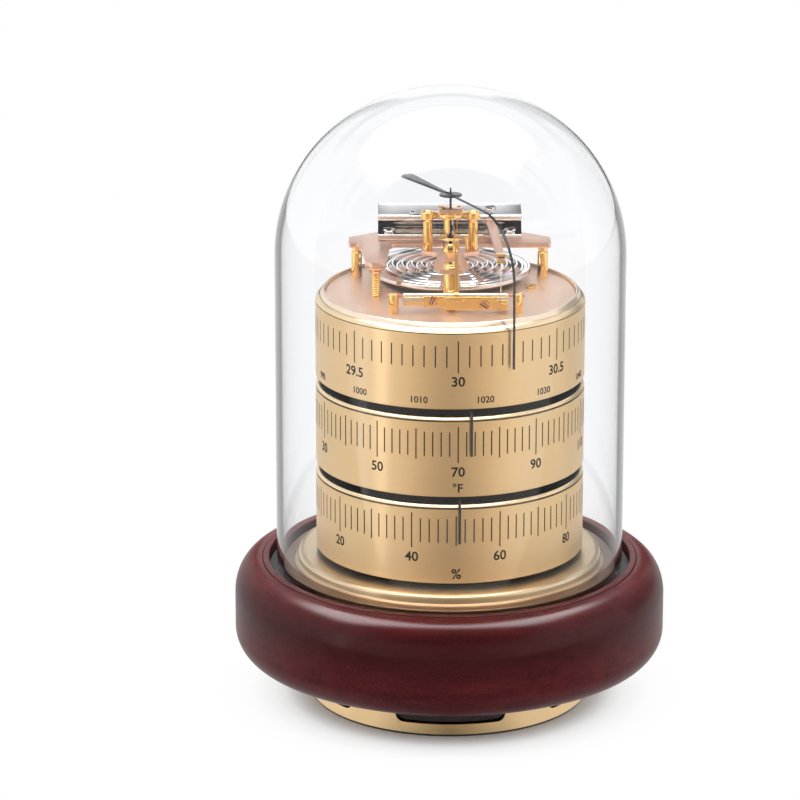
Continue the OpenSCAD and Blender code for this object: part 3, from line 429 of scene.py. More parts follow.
def rounded(points, radius, steps=5, closed=True):
    """Corners turned into curves: each runs from radius before the corner to radius after it,
    a blend of start, corner and end by (1-t)^2, 2t(1-t) and t^2. An open line keeps its ends,
    and its radii are those of the corners between them."""
    p = np.asarray(points, float)
    reach = np.full(len(p), 1e-6)
    reach[slice(None) if closed else slice(1, -1)] = radius

    def toward(q):
        d = q - p
        far = np.linalg.norm(d, axis=1)
        return p + d / far[:, None] * np.minimum(reach, 0.49 * far)[:, None]

    a, b = toward(np.roll(p, 1, 0)), toward(np.roll(p, -1, 0))
    t = np.linspace(0, 1, steps)[None, :, None]
    line = (1 - t) ** 2 * a[:, None] + 2 * t * (1 - t) * p[:, None] + t ** 2 * b[:, None]
    return line.reshape(-1, p.shape[1])


def looped(profile, radius, steps=4):
    """A closed profile with rounded corners, its first point repeated at the end."""
    line = rounded(profile, radius, steps)
    return np.vstack([line, line[:1]])


def lathe(line, radius, steps=5, around=64):
    """A turned piece from an open line of (r, z) with rounded corners."""
    return turned(rounded(line, radius, steps, closed=False), around)


def oblong(wide, thick, radius):
    """A rounded section, from half its width and half its thickness."""
    return rounded([(-wide, -thick), (wide, -thick), (wide, thick), (-wide, thick)], radius, 3)


def arc(cx, cy, rx, ry, a0, a1, n):
    """Points of an ellipse from angle a0 to a1, in degrees."""
    a = np.radians(np.linspace(a0, a1, n))
    return np.stack([cx + rx * np.cos(a), cy + ry * np.sin(a)], 1)


def circle(radius, n=24, centre=(0, 0)):
    return arc(*centre, radius, radius, 0, 360, n + 1)[:-1]


def inset(outline, by):
    """The outline moved inwards: each point goes along the mean of its two edge normals."""
    p = np.asarray(outline, float)
    edge = np.roll(p, -1, 0) - p
    edge /= np.maximum(np.linalg.norm(edge, axis=1), 1e-9)[:, None]
    normal = np.stack([edge[:, 1], -edge[:, 0]], 1)
    mean = normal + np.roll(normal, 1, 0)
    mean /= np.maximum((mean * mean).sum(1) / 2, 0.5)[:, None]
    area = np.sum(p[:, 0] * np.roll(p[:, 1], -1) - p[:, 1] * np.roll(p[:, 0], -1))
    return p - mean * by * np.sign(area)


def plate(outline, thick, bevel=None):
    """A flat sheet from z = 0: rings of the outline, inset at both faces, with flat caps."""
    bevel = sizes()["plate_edge"] if bevel is None else bevel
    outline = np.asarray(outline, float)
    steps = [(1.0, 0.0), (0.3, 0.3), (0.0, 1.0)]
    rings = [(a, b * bevel) for a, b in steps] + [(a, thick - b * bevel) for a, b in steps[::-1]]
    points = np.stack([np.c_[inset(outline, a * bevel), np.full(len(outline), z)]
                       for a, z in rings])
    p, f = grid(points, close_columns=True)
    n = len(outline)
    return p, f + [np.arange(n)[None, ::-1], np.arange(5 * n, 6 * n)[None]]


def swept(path, section, side, wide=1.0, thick=1.0):
    """A section (u, v) along a path: u goes along the side vector and v across it, square to
    the path; wide and thick scale u and v from point to point."""
    path, section = np.asarray(path, float), np.asarray(section, float)
    along = np.gradient(path, axis=0)
    along /= np.linalg.norm(along, axis=1)[:, None]
    side = np.broadcast_to(np.asarray(side, float), path.shape)
    across = np.cross(along, side)
    wide, thick = (np.broadcast_to(w, len(path))[:, None, None] for w in (wide, thick))
    points = (path[:, None] + section[None, :, :1] * wide * side[:, None]
              + section[None, :, 1:] * thick * across[:, None])
    p, f = grid(points, close_columns=True)
    n, last = len(section), len(path) - 1
    return p, f + [np.arange(n)[None, ::-1], np.arange(last * n, last * n + n)[None]]


def slotted_head(radius, high, turn=0.0):
    """A cheese head on z = 0: a disc with two rounded half discs on it, either side of the
    slot."""
    slot = np.degrees(np.arcsin(0.17))
    halves = []
    for s in (0, 180):
        half = rounded(arc(0, 0, radius, radius, s + slot, s + 180 - slot, 20), 0.05, 2)
        halves.append(moved(plate(half, high * 0.75, min(0.3 * radius, high * 0.45)),
                            (0, 0, high * 0.25), turn))
    disc = turned([(0, 0), (radius, 0), (radius, high * 0.3), (0, high * 0.3)], 32)
    return together(disc, *halves)


def moved(shape, by=(0, 0, 0), turn=0.0, axis="z"):
    """Turned about z by degrees, stood along an axis, and moved."""
    p, f = shape
    a = np.radians(turn)
    x, y, z = p.T
    x, y = x * np.cos(a) - y * np.sin(a), x * np.sin(a) + y * np.cos(a)
    x, y, z = {"z": (x, y, z), "x": (z, x, y), "-x": (-z, -x, y), "-y": (x, -z, y)}[axis]
    return np.stack([x, y, z], 1) + np.asarray(by, float), f


def azimuth(a, r, z):
    """Points at an azimuth in degrees from the front and a radius."""
    a = np.radians(a)
    return np.stack(np.broadcast_arrays(r * np.sin(a), -r * np.cos(a), z), -1)


def dressed(node, bevel=0.12, slim=1.0):
    """The node's own shape with its doubles merged, its flats made whole and its edges
    bevelled; slim draws its sides in about its middle plane."""
    mesh = bmesh.new()
    mesh.from_mesh(frame["nodes"][node].data)
    middle = (span(node)[0][0] + span(node)[1][0]) / 2 * MM
    for vertex in mesh.verts:
        vertex.co.x = middle + (vertex.co.x - middle) * slim
    bmesh.ops.remove_doubles(mesh, verts=mesh.verts, dist=1e-7)
    bmesh.ops.dissolve_limit(mesh, angle_limit=0.02, verts=mesh.verts, edges=mesh.edges)
    sharp = [e for e in mesh.edges if e.is_manifold and e.calc_face_angle() > 0.6]
    bmesh.ops.bevel(mesh, geom=sharp, offset=bevel * MM, segments=2, profile=0.5,
                    affect="EDGES", clamp_overlap=True)
    return mesh


def make(name, shape, look, *nodes, body="stand", sharp=30.0, slot=None):
    """Puts a shape into the scene: metres, doubles merged, faces outwards, smooth up to an
    angle. It stands for the nodes named and rides on their body, or else on the one given."""
    data = bpy.data.meshes.new(name)
    if isinstance(shape, tuple):
        points, faces = shape
        data.from_pydata((np.asarray(points) * MM).tolist(), [],
                         [face for block in faces for face in np.asarray(block).tolist()])
        mesh = bmesh.new()
        mesh.from_mesh(data)
    else:
        mesh = shape
    bmesh.ops.remove_doubles(mesh, verts=mesh.verts, dist=2e-7)
    bmesh.ops.recalc_face_normals(mesh, faces=mesh.faces)
    mesh.to_mesh(data)
    mesh.free()
    data.shade_smooth()
    data.set_sharp_from_angle(angle=np.radians(sharp))
    data.materials.append(finish(look))
    piece = bpy.data.objects.new(name, data)
    bpy.context.scene.collection.objects.link(piece)
    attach(piece, frame["nodes"][nodes[0]]["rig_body"] if nodes else body)
    if nodes:
        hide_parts(*nodes)
    return piece


def dress(look, *nodes):
    """Gives CAD nodes a finish."""
    for node in nodes:
        data = frame["nodes"][node].data
        data.materials.clear()
        data.materials.append(finish(look))


# Pieces

# Heights and places that several pieces share
PLATE_TOP = 156.4
CAPSULE_Y = 19.0
SHAFT_Y = -28.6
COLUMN_Y = -24
PILLAR_X, PILLAR_Y = 8.4, 2
HAIR_Z = 177.0
DRUMS = ("hygrometer", "thermometer", "barometer")


class BuildFoot(bpy.types.Operator):
    """The brass foot ring with its round-ended slots, on a felt pad"""
    bl_idname = "station.foot"
    bl_label = "Foot"

    def execute(self, context):
        low, high = span("foot_ring")
        edge, r = sizes()["edge"], sizes()["slot_end"]
        out, inn, middle, lip = high[0], high[0] - 2.5, low[2] + 7.5, 2.0
        wide, centres = 46.3, 67.7 * np.arange(-2, 3)
        ends = wide / 2 - np.degrees((1 - np.cos(np.linspace(0, np.pi / 2, 9))) * r / out)
        turn = np.concatenate([np.linspace(-180, 180, 361),
                               *(c + s * ends for c in centres for s in (-1, 1))])
        turn = np.unique(np.round(turn, 4))[:-1]
        inside = np.max([wide / 2 - np.abs(turn - c) for c in centres], 0)
        # Half opening: r sqrt(1 - (1 - d/r)^2) at distance d inside a slot's end
        d = np.clip(np.radians(inside) * out / r, 0, 1)
        half = r * np.sqrt(1 - (1 - d) ** 2)
        e = np.minimum(edge, half)
        shut = (half < 1e-6) & (np.roll(half, -1) < 1e-6)
        bands = []
        for s, base, flange in ((1, low[2], 44.0), (-1, high[2], 40.5)):
            mouth = middle - s * half
            line = [(flange, base), (out - edge, base), (out - 0.3 * edge, base + s * 0.3 * edge),
                    (out, base + s * edge), (out, mouth - s * e),
                    (out - 0.3 * e, mouth - s * 0.3 * e), (out - e, mouth), (inn + e, mouth),
                    (inn, mouth - s * e), (inn, base + s * lip), (flange, base + s * lip)]
            p, f = grid(np.stack([azimuth(turn, *at) for at in line], 1), True, True)
            quads = f[0].reshape(len(turn), len(line), 4)
            keep = np.ones(quads.shape[:2], bool)
            keep[np.ix_(shut, [4, 5, 6, 7])] = False
            bands.append((p, [quads[keep]]))
        make("foot_band", together(*bands), "foot_brass", "foot_ring")
        dress("felt", "foot_pad")
        dress("pale_gold", "foot_screws")
        return {"FINISHED"}


class BuildBase(bpy.types.Operator):
    """The turned and varnished wooden base"""
    bl_idname = "station.base"
    bl_label = "Wooden base"

    def execute(self, context):
        low, high = span("wood_base")
        r, z0 = high[0], low[2]
        top = levels("base_dish")[1] - 3.6
        profile = np.vstack([
            [(14.0, z0)], arc(r - 11, z0 + 11, 11, 11, -90, 0, 22),
            arc(r - 9.8, top - 13.6, 9.8, 13.2, 0, 88, 30),
            rounded([(r - 10.2, top - 0.4), (r - 10.35, top - 0.75), (r - 10.5, top - 0.1),
                     (r - 10.75, top), (68.0, top), (68.0, 49.0)], 0.12, 4, closed=False),
            [(62.4, 49.0), (62.4, 51.2), (32.0, 51.2), (32.0, 55.2), (14.0, 55.2), (14.0, z0)]])
        make("turned_base", turned(profile, 256), "varnished_wood", "wood_base", sharp=35)
        return {"FINISHED"}


class BuildDish(bpy.types.Operator):
    """The spun brass dish, the felt seat of the dome and the neck of the drum stack"""
    bl_idname = "station.dish"
    bl_label = "Brass dish"

    def execute(self, context):
        low, high = span("base_dish")
        top, flange, r = high[2], low[2] + 2, high[0]
        profile = np.vstack([
            [(12.0, top - 2), (52.4, top - 2), (52.4, low[2]), (r, low[2])],
            rounded([(r, flange - 1), (r, flange), (58.4, flange), (57.9, flange + 0.45),
                     (57.0, flange + 0.5), (57.0, top), (12.0, top)],
                    [0.5, 0.25, 0.25, 0.3, 2.6], 8, closed=False),
            [(12.0, top - 2)]])
        make("spun_dish", turned(profile, 256), "dish_brass", "base_dish")
        dress("felt", "dome_seat")
        # The neck and spacers in the gaps get the painted shade finish
        dress("gap_black", "neck_ring", "stack_spacers")
        dress("pale_gold", "dish_screws", "rod_nuts")
        dress("plain_steel", "tie_rods")
        return {"FINISHED"}


class BuildDome(bpy.types.Operator):
    """The blown glass dome with its rounded foot"""
    bl_idname = "station.dome"
    bl_label = "Glass dome"

    def execute(self, context):
        low, high = span("glass_dome")
        r, knuckle, crown, wall = high[0], 61.5, 70.9, 2.3
        centre = high[2] - crown
        side = r - knuckle
        rise = np.sqrt((crown - knuckle) ** 2 - side ** 2)
        meet = np.degrees(np.arctan2(rise, side))

        def skin(t):
            wall_z = np.linspace(low[2] + 1.2, centre + rise, 24)
            return np.vstack([
                np.stack([np.full(24, r - t), wall_z], 1)[:-1],
                arc(side, centre + rise, knuckle - t, knuckle - t, 0, meet, 34)[:-1],
                arc(0, centre, crown - t, crown - t, meet, 90, 22)])

        foot = arc(r - wall / 2, low[2] + wall / 2, wall / 2, wall / 2, -180, 0, 12)
        profile = np.vstack([skin(wall)[::-1], foot, skin(0)])
        make("blown_dome", turned(profile, 192), "glass", "glass_dome")
        return {"FINISHED"}


class BuildDrums(bpy.types.Operator):
    """Three brushed brass drums with rolled lips, their plates, spindles and coils"""
    bl_idname = "station.drums"
    bl_label = "Drums"

    def execute(self, context):
        for kind in DRUMS:
            low, high = span(f"{kind}_drum")
            r, z0, z1 = high[0], low[2], high[2]
            # A polished lip with a chamfer stands over a thin groove, wider on the top drum
            deep, wide, gap = (1.6, 1.5, 0.3) if kind == "barometer" else (0.95, 0.85, 0.7)
            neck = z1 - deep - 0.15
            profile = looped([
                (r - 3.5, z0), (r - 0.05, z0), (r, z0 + 0.4), (r, neck - gap),
                (r - 0.5, neck - gap + 0.05), (r - 0.5, neck), (r - 1.62, neck),
                (r - 1.62, z1 - 2.6), (r - 3.5, z1 - 2.6)],
                [0.2, 0.1, 0.2, 0.08, 0.04, 0.04, 0.05, 0.05, 0.1], 6)
            make(f"{kind}_shell", turned(profile, 256), "drum_brass", f"{kind}_drum")
            lip = looped([
                (r - 1.62, neck - 0.02), (r - 0.05, neck), (r, z1 - deep),
                (r - 0.45 * wide, z1 - 0.42 * deep), (r - wide, z1), (r - 1.55, z1)],
                [0.02, 0.1, 0.15, 0.5, 0.08, 0.04], 6)
            make(f"{kind}_lip", turned(lip, 256), "lip_gold")
            # The drum floors get the painted shade finish of the gaps
            dress("gap_black", f"{kind}_floor")
        for kind in DRUMS[:2]:
            # The decks get the painted shade finish of the gaps
            dress("gap_black", f"{kind}_deck")
            dress("foil", f"{kind}_coil")
            dress("plain_steel", f"{kind}_spindle")
        dress("pale_gold", "coil_studs")
        return {"FINISHED"}


def figures(body, size, at, top, drum_r, proud):
    """A number as a mesh wrapped round a drum: across goes to azimuth by arc length, up goes
    to z, and depth goes to radius."""
    text = bpy.data.curves.new("figure", "FONT")
    text.body, text.align_x, text.align_y = body, "CENTER", "TOP_BASELINE"
    text.resolution_u, text.extrude, text.offset, text.size = 3, proud * MM, 0.02, 1.0
    holder = bpy.data.objects.new("figure", text)
    bpy.context.scene.collection.objects.link(holder)
    bpy.context.view_layer.update()
    data = bpy.data.meshes.new_from_object(
        holder.evaluated_get(bpy.context.evaluated_depsgraph_get()))
    co = np.zeros(len(data.vertices) * 3)
    data.vertices.foreach_get("co", co)
    co = co.reshape(-1, 3)
    faces = [np.array([list(p.vertices)]) for p in data.polygons]
    bpy.data.objects.remove(holder)
    bpy.data.curves.remove(text)
    bpy.data.meshes.remove(data)
    cap = 0.73
    x, y, depth = co[:, 0] * size / cap, co[:, 1] * size / cap, co[:, 2] / MM
    z = top - size - (y.min() if body == "%" else 0) + y
    return azimuth(at + np.degrees(x / drum_r), drum_r + depth, z), faces


def marks(at, high, low, wide, drum_r, proud):
    """Scale marks as thin curved blocks: four corners in azimuth and z, at two radii."""
    half = np.degrees(wide / 2 / drum_r)
    a = at[:, None] + half * np.array([-1, 0, 1, 1, 0, -1])
    z = np.where(np.array([1, 1, 1, 0, 0, 0]) > 0, high[:, None], low[:, None])
    ring = np.stack([azimuth(a, drum_r + r, z) for r in (-proud, proud)], 1)
    block = np.array([[0, 1, 4, 5], [1, 2, 3, 4], [11, 10, 7, 6], [10, 9, 8, 7]])
    rim = np.array([[i, (i + 1) % 6, (i + 1) % 6 + 6, i + 6] for i in range(6)])
    start = 12 * np.arange(len(at))[:, None, None]
    return ring.reshape(-1, 3), [(np.vstack([block, rim])[None] + start).reshape(-1, 4)]


class BuildScales(bpy.types.Operator):
    """Printed scales: marks and plain numbers round each drum"""
    bl_idname = "station.scales"
    bl_label = "Scales"

    def execute(self, context):
        s = sizes()

        def scale(kind, per_unit, zero, values, long, medium, tops, numbers, extra):
            """A reading v stands at azimuth zero + per_unit v. tops holds the upper and lower
            end of long, medium and short marks and of the numbers, below the drum's top."""
            r, _, top = span(f"{kind}_drum")[1]
            kind_of = np.where(np.isin(values, long), 0, np.where(np.isin(values, medium), 1, 2))
            ends = top - np.array(tops[:3])[kind_of]
            shapes = [marks(zero + per_unit * values, ends[:, 0], ends[:, 1], s["mark"], r,
                            s["mark_proud"])]
            words = [(f"{value:g}", s["figure"], zero + per_unit * value, tops[3])
                     for value in numbers]
            for text, size, place, below in words + extra:
                shapes.append(figures(text, size, place, top - below, r, s["mark_proud"]))
            make(f"{kind}_scale", together(*shapes), "ink", sharp=40)

        inch, per_inch, at_30 = 33.8639, 94, 2.7
        pressure = [(str(p), s["small_figure"], at_30 + per_inch * (p / inch - 30), 25.4)
                    for p in range(990, 1041, 10)]
        scale("barometer", per_inch, at_30 - per_inch * 30,
              np.round(np.arange(29, 31.01, 0.05), 2), [29, 29.5, 30, 30.5, 31], [],
              [(4.5, 16.5), (4.5, 16.5), (6.4, 14.4), 17.7], [29, 29.5, 30, 30.5, 31], pressure)
        scale("thermometer", 1.755, 2.8 - 1.755 * 70, np.arange(20.0, 120.1, 2),
              [30, 50, 70, 90, 110], [20, 40, 60, 80, 100, 120],
              [(3.4, 17.1), (4.4, 16.0), (5.5, 14.8), 18.6], [30, 50, 70, 90, 110],
              [("°F", 3.3, 2.6, 25.0)])
        scale("hygrometer", 1.868, 2.1 - 1.868 * 50, np.arange(0.0, 100.1, 2),
              [0, 20, 40, 60, 80, 100], [10, 30, 50, 70, 90],
              [(3.3, 16.8), (4.3, 15.6), (5.4, 14.5), 18.2], [0, 20, 40, 60, 80, 100],
              [("%", 3.9, 2.2, 24.5)])
        return {"FINISHED"}


class BuildDrumPointers(bpy.types.Operator):
    """The two black pointers that bend down over the faces of the lower drums"""
    bl_idname = "station.drum_pointers"
    bl_label = "Drum pointers"

    def execute(self, context):
        for kind, at in (("hygrometer", 3.5), ("thermometer", 8.2)):
            foot, top = levels(f"{kind}_pointer")
            line = rounded([(2.0, top - 0.25), (51.15, top - 0.25), (51.15, foot)], 0.9, 8,
                           closed=False)
            hand = swept(azimuth(at, *line.T), oblong(0.45, 0.25, 0.08),
                         azimuth(at + 90, 1.0, 0.0))
            hub = moved(plate(circle(3, 32), 0.5, 0.1), (0, 0, top - 0.5))
            make(f"{kind}_hand", together(hand, hub), "black", f"{kind}_pointer")
        return {"FINISHED"}


class BuildTopPlate(bpy.types.Operator):
    """The faced copper plate that closes the top drum, and its small screw"""
    bl_idname = "station.top_plate"
    bl_label = "Top plate"

    def execute(self, context):
        low, high = span("top_plate")
        z0, r, top, rim = low[2], high[0], high[2], 46.3
        disc = lathe([(0, z0), (rim, z0), (rim, top), (0, top)], [0.1, 0.12], 5, 256)
        make("copper_disc", disc, "copper_disc", "top_plate")
        edge = looped([(rim + 0.1, z0), (r, z0), (r, top - 0.35), (rim + 1.0, top + 1.25),
                       (rim + 0.4, top + 1.35), (rim + 0.1, top + 0.9)],
                      [0.1, 0.1, 0.15, 0.5, 0.3, 0.2], 8)
        make("copper_rim", turned(edge, 256), "rim_gold")
        make("disc_screw", moved(slotted_head(2.0, 1.2, 40), (30, 4, top)), "gold", "plate_screw")
        return {"FINISHED"}


class BuildCapsule(bpy.types.Operator):
    """The mirror-bright ridged capsule, its boss and the post that pulls on it"""
    bl_idname = "station.capsule"
    bl_label = "Capsule"

    def execute(self, context):
        r, _, boss_top = span("aneroid_capsule")[1]
        foot, rim, top = PLATE_TOP, PLATE_TOP + 3.2, PLATE_TOP + 4.8
        t = np.linspace(0, 1, 289)
        # Ridge height: half the depth times (1 - cos) of six turns between the rings
        ridges = np.stack([r - 3.4 - (r - 8.4) * t, top + 0.38 * (1 - np.cos(TURN * 6 * t))], 1)
        edge = rounded([(r - 4, foot + 1.2), (r - 2, rim), (r, rim), (r, top), (r - 1.1, top),
                        (r - 1.3, top - 0.3), (r - 2.6, top - 0.3), (r - 2.9, top - 0.02)],
                       [0.3, 0.5, 0.5, 0.15, 0.15, 0.15], 6, closed=False)
        boss = rounded([(4.9, top), (4.5, top + 0.1), (4.5, boss_top), (0, boss_top)],
                       [0.1, 0.35], 5, closed=False)
        profile = np.vstack([[(0, foot), (7, foot), (7, foot + 1.2)], edge, ridges, boss])
        make("ridged_capsule", moved(turned(profile, 288), (0, CAPSULE_Y, 0)), "mirror",
             "aneroid_capsule", sharp=40)
        z0, z1 = levels("pull_post")
        hook_z = z1 - 1.4
        stem = lathe([(0, z0), (1.5, z0), (1.5, hook_z), (0, hook_z)], 0.15, 4, 48)
        hook = plate(rounded([(-3, -1.5), (3, -1.5), (3, 6.5), (-3, 6.5)], 0.9), 1.4)
        make("pull_hook", together(moved(stem, (0, CAPSULE_Y, 0)),
                                   moved(hook, (0, CAPSULE_Y, hook_z))),
             "plain_steel", "pull_post")
        dress("pale_gold", "capsule_nut")
        return {"FINISHED"}


class BuildBridge(bpy.types.Operator):
    """The copper bridge over the capsule, its two posts and the threaded adjusting screw"""
    bl_idname = "station.bridge"
    bl_label = "Bridge"

    def execute(self, context):
        z0, z1 = levels("bridge_plate")
        base, end = PLATE_TOP, 148.4
        x, y = -27.5, -6.8
        outline = [(-38, 28), (-28, 35), (-21, 40), (21, 40), (28, 35), (38, 28), (38, 18.5),
                   (2.5, 18.5), (2.2, 21.2), (-2.2, 21.2), (-2.5, 18.5), (-22.4, 18.5),
                   (x + 4.0, y + 3.2), (x + 3.9, y - 1.2), (x + 1.8, y - 3.9),
                   (x - 1.8, y - 3.9), (x - 3.9, y - 1.2), (x - 4.0, y + 3.2), (-33.8, 19.0),
                   (-38, 18.5)]
        reach = [1.2, 2, 2, 2, 2, 1.2, 1.2, 0.8, 0.8, 0.8, 0.8, 3.5, 2, 1.5, 1.5, 1.5, 1.5, 2, 2,
                 1.2]
        sheet = plate(rounded(outline[::-1], reach[::-1], 6), z1 - z0)
        make("copper_bridge", moved(sheet, (0, 0, z0)), "copper", "bridge_plate")
        post = lathe([(0, base), (2.05, base), (2.05, z0 - 2.2), (1.35, z0 - 1.7),
                      (1.35, z0 - 1.3), (1.95, z0 - 1.15), (1.95, z0), (0, z0)],
                     [0.1, 0.45, 0.15, 0.1, 0.1, 0.1], 6)
        posts = [moved(post, (s * 35, 21, 0)) for s in (-1, 1)]
        make("bridge_pillars", together(*posts), "gold", "bridge_posts")
        # Thread: the radius falls and rises once a pitch along z and once a turn round it
        s = sizes()
        a = np.linspace(0, TURN, 48, endpoint=False)[:, None]
        shank = np.linspace(end, z0 - 2.6, 150)[None]
        wave = 0.5 + 0.5 * np.cos(TURN * shank / s["thread_pitch"] - a)
        r = 1.78 - s["thread_depth"] * (1 - wave ** 0.8) * (shank > base - 1)
        thread = grid(np.stack([r * np.cos(a), r * np.sin(a), shank + 0 * a], -1), close_rows=True)
        cone = lathe([(0, z0 - 2.9), (1.75, z0 - 2.9), (1.9, z0 - 2.2), (4.05, z0 - 0.5),
                      (4.05, z0 - 0.12), (1.2, z0 - 0.1), (1.2, z1 - 0.3), (0, z1 - 0.3)],
                     [0.1, 0.5, 0.4, 0.1, 0.1, 0.1], 6)
        foot = turned([(1.78, end), (0, end)], 48)
        make("adjusting_thread", moved(together(thread, foot), (x, y, 0)), "gold",
             "adjusting_screw", sharp=50)
        make("adjusting_cone", moved(cone, (x, y, 0)), "rose", body="adjuster")
        return {"FINISHED"}


class BuildMainspring(bpy.types.Operator):
    """The folded steel mainspring with its screws"""
    bl_idname = "station.mainspring"
    bl_label = "Mainspring"

    def execute(self, context):
        low, high = span("mainspring")
        x0, x1, z0, z1 = low[0], high[0], low[2], high[2]
        front, bend, r, fold = 23.0, 37.0, (z1 - z0) / 2, 3
        inner = z0 + 2.2
        outline = np.vstack([
            arc(bend, z0 + r, r, r, -90, 90, 24),
            rounded([(front + 11, z1 - 0.2), (front, z1 - 0.95), (front, z1 - 3.4),
                     (front + 11, z1 - 2.6)], [1.8, 0.9], 12, closed=False),
            arc(bend, inner + fold, fold, fold, 90, -90, 16),
            rounded([(front + 2, inner), (front, inner), (front, z0), (front + 2, z0)],
                    0.6, 6, closed=False)])
        make("folded_spring", moved(plate(outline, x1 - x0, 0.25), (x0, 0, 0), axis="x"),
             "spring_steel", "mainspring", sharp=35)
        heads = [moved(slotted_head(2.4, 1.8, s * 30), (s * 22.8, 26.4, inner)) for s in (-1, 1)]
        make("spring_heads", together(*heads), "spring_steel", "spring_screws")
        rivet = turned([(0, 0), (1.4, 0), (1.3, 0.25), (0.8, 0.5), (0, 0.55)], 32)
        make("spring_rivet", moved(rivet, (-14, 27, z1 - 0.7)), "spring_steel")
        return {"FINISHED"}


class BuildArm(bpy.types.Operator):
    """The copper compensation arm with its screw, clamp and link wire"""
    bl_idname = "station.arm"
    bl_label = "Compensation arm"

    def execute(self, context):
        low, high = span("compensation_arm")
        root, tip = high[1], low[1]
        p, f = plate(rounded([(13, root), (16.6, tip), (19.4, tip), (17, root)], 0.5), 1.0, 0.1)
        # Droop: z falls by the tangent of 1.1 degrees for each step towards the front
        p[:, 2] += 176.5 - np.tan(np.radians(1.1)) * (30.0 - p[:, 1])
        make("copper_arm", (p, f), "copper", "compensation_arm")
        make("clamp_block", dressed("arm_clamp", 0.18, 0.75), "gold", "arm_clamp")
        head_z = levels("arm_screw")[1] - 1.5
        make("arm_head", moved(slotted_head(2.2, 1.5, 20), (15.2, 25.8, head_z)), "spring_steel",
             "arm_screw")
        dress("pale_gold", "link_wire")
        return {"FINISHED"}


class BuildShaft(bpy.types.Operator):
    """The rocking shaft between its pivots, with block, strip, screws, lever and chain"""
    bl_idname = "station.shaft"
    bl_label = "Rocking shaft"

    def execute(self, context):
        low, high = span("rocking_shaft")
        r, y, z = (high[2] - low[2]) / 2, SHAFT_Y, (high[2] + low[2]) / 2
        end = high[0] - low[0]
        rod = lathe([(0, 0), (r * 0.7, 0), (r, 0.5), (r, end - 0.5), (r * 0.7, end), (0, end)],
                    [0.2, 0.3, 0.3, 0.2], 4, 48)
        make("polished_shaft", moved(rod, (low[0], y, z), axis="x"), "pale_gold", "rocking_shaft")
        base, top = PLATE_TOP, levels("shaft_posts")[1]
        post = lathe([(0, base), (1.75, base), (1.75, base + 2.6), (1.9, base + 3.0), (1.9, top),
                      (0, top)], [0.1, 0.2, 0.2, 0.4])
        make("pivot_posts", together(moved(post, (-20.9, y, 0)), moved(post, (24.1, y, 0))),
             "gold", "shaft_posts")
        tip = lathe([(0, 0), (0.2, 0), (0.4, 0.5), (0.4, 7.2), (0, 7.2)], 0.1, 4, 24)
        make("pivot_tips", together(moved(tip, (-16.0, y, z), axis="-x"),
                                    moved(tip, (19.2, y, z), axis="x")),
             "red_tip", "pivot_screws")
        heads = [moved(slotted_head(1.65, 0.8, turn), (x, front, z - drop), axis="-y")
                 for x, front, drop, turn in ((-6.9, -30.8, 1.2, 65), (12.1, -30.3, 3.0, -35))]
        make("gilt_block", dressed("shaft_block"), "gold", "shaft_block")
        make("gilt_strip", dressed("regulator_strip"), "gold", "regulator_strip")
        make("strip_heads", together(*heads), "rose", "strip_screws")
        make("gilt_lever", dressed("lever_arm", 0.1, 0.7), "gold", "lever_arm")
        low, high = span("drive_chain")
        run = np.linspace(low[1], high[1], 261)
        # Links: the wire swells and narrows once a link, wide one way then the other
        beat = np.pi * (run - run[0]) / 1.1
        path = np.stack([np.full_like(run, (low[0] + high[0]) / 2), run,
                         np.full_like(run, (low[2] + high[2]) / 2)], 1)
        chain = swept(path, circle(0.25, 10), (1, 0, 0), 0.5 + 0.5 * np.abs(np.sin(beat)),
                      0.5 + 0.5 * np.abs(np.cos(beat)))
        make("linked_chain", chain, "gold", "drive_chain", sharp=60)
        return {"FINISHED"}


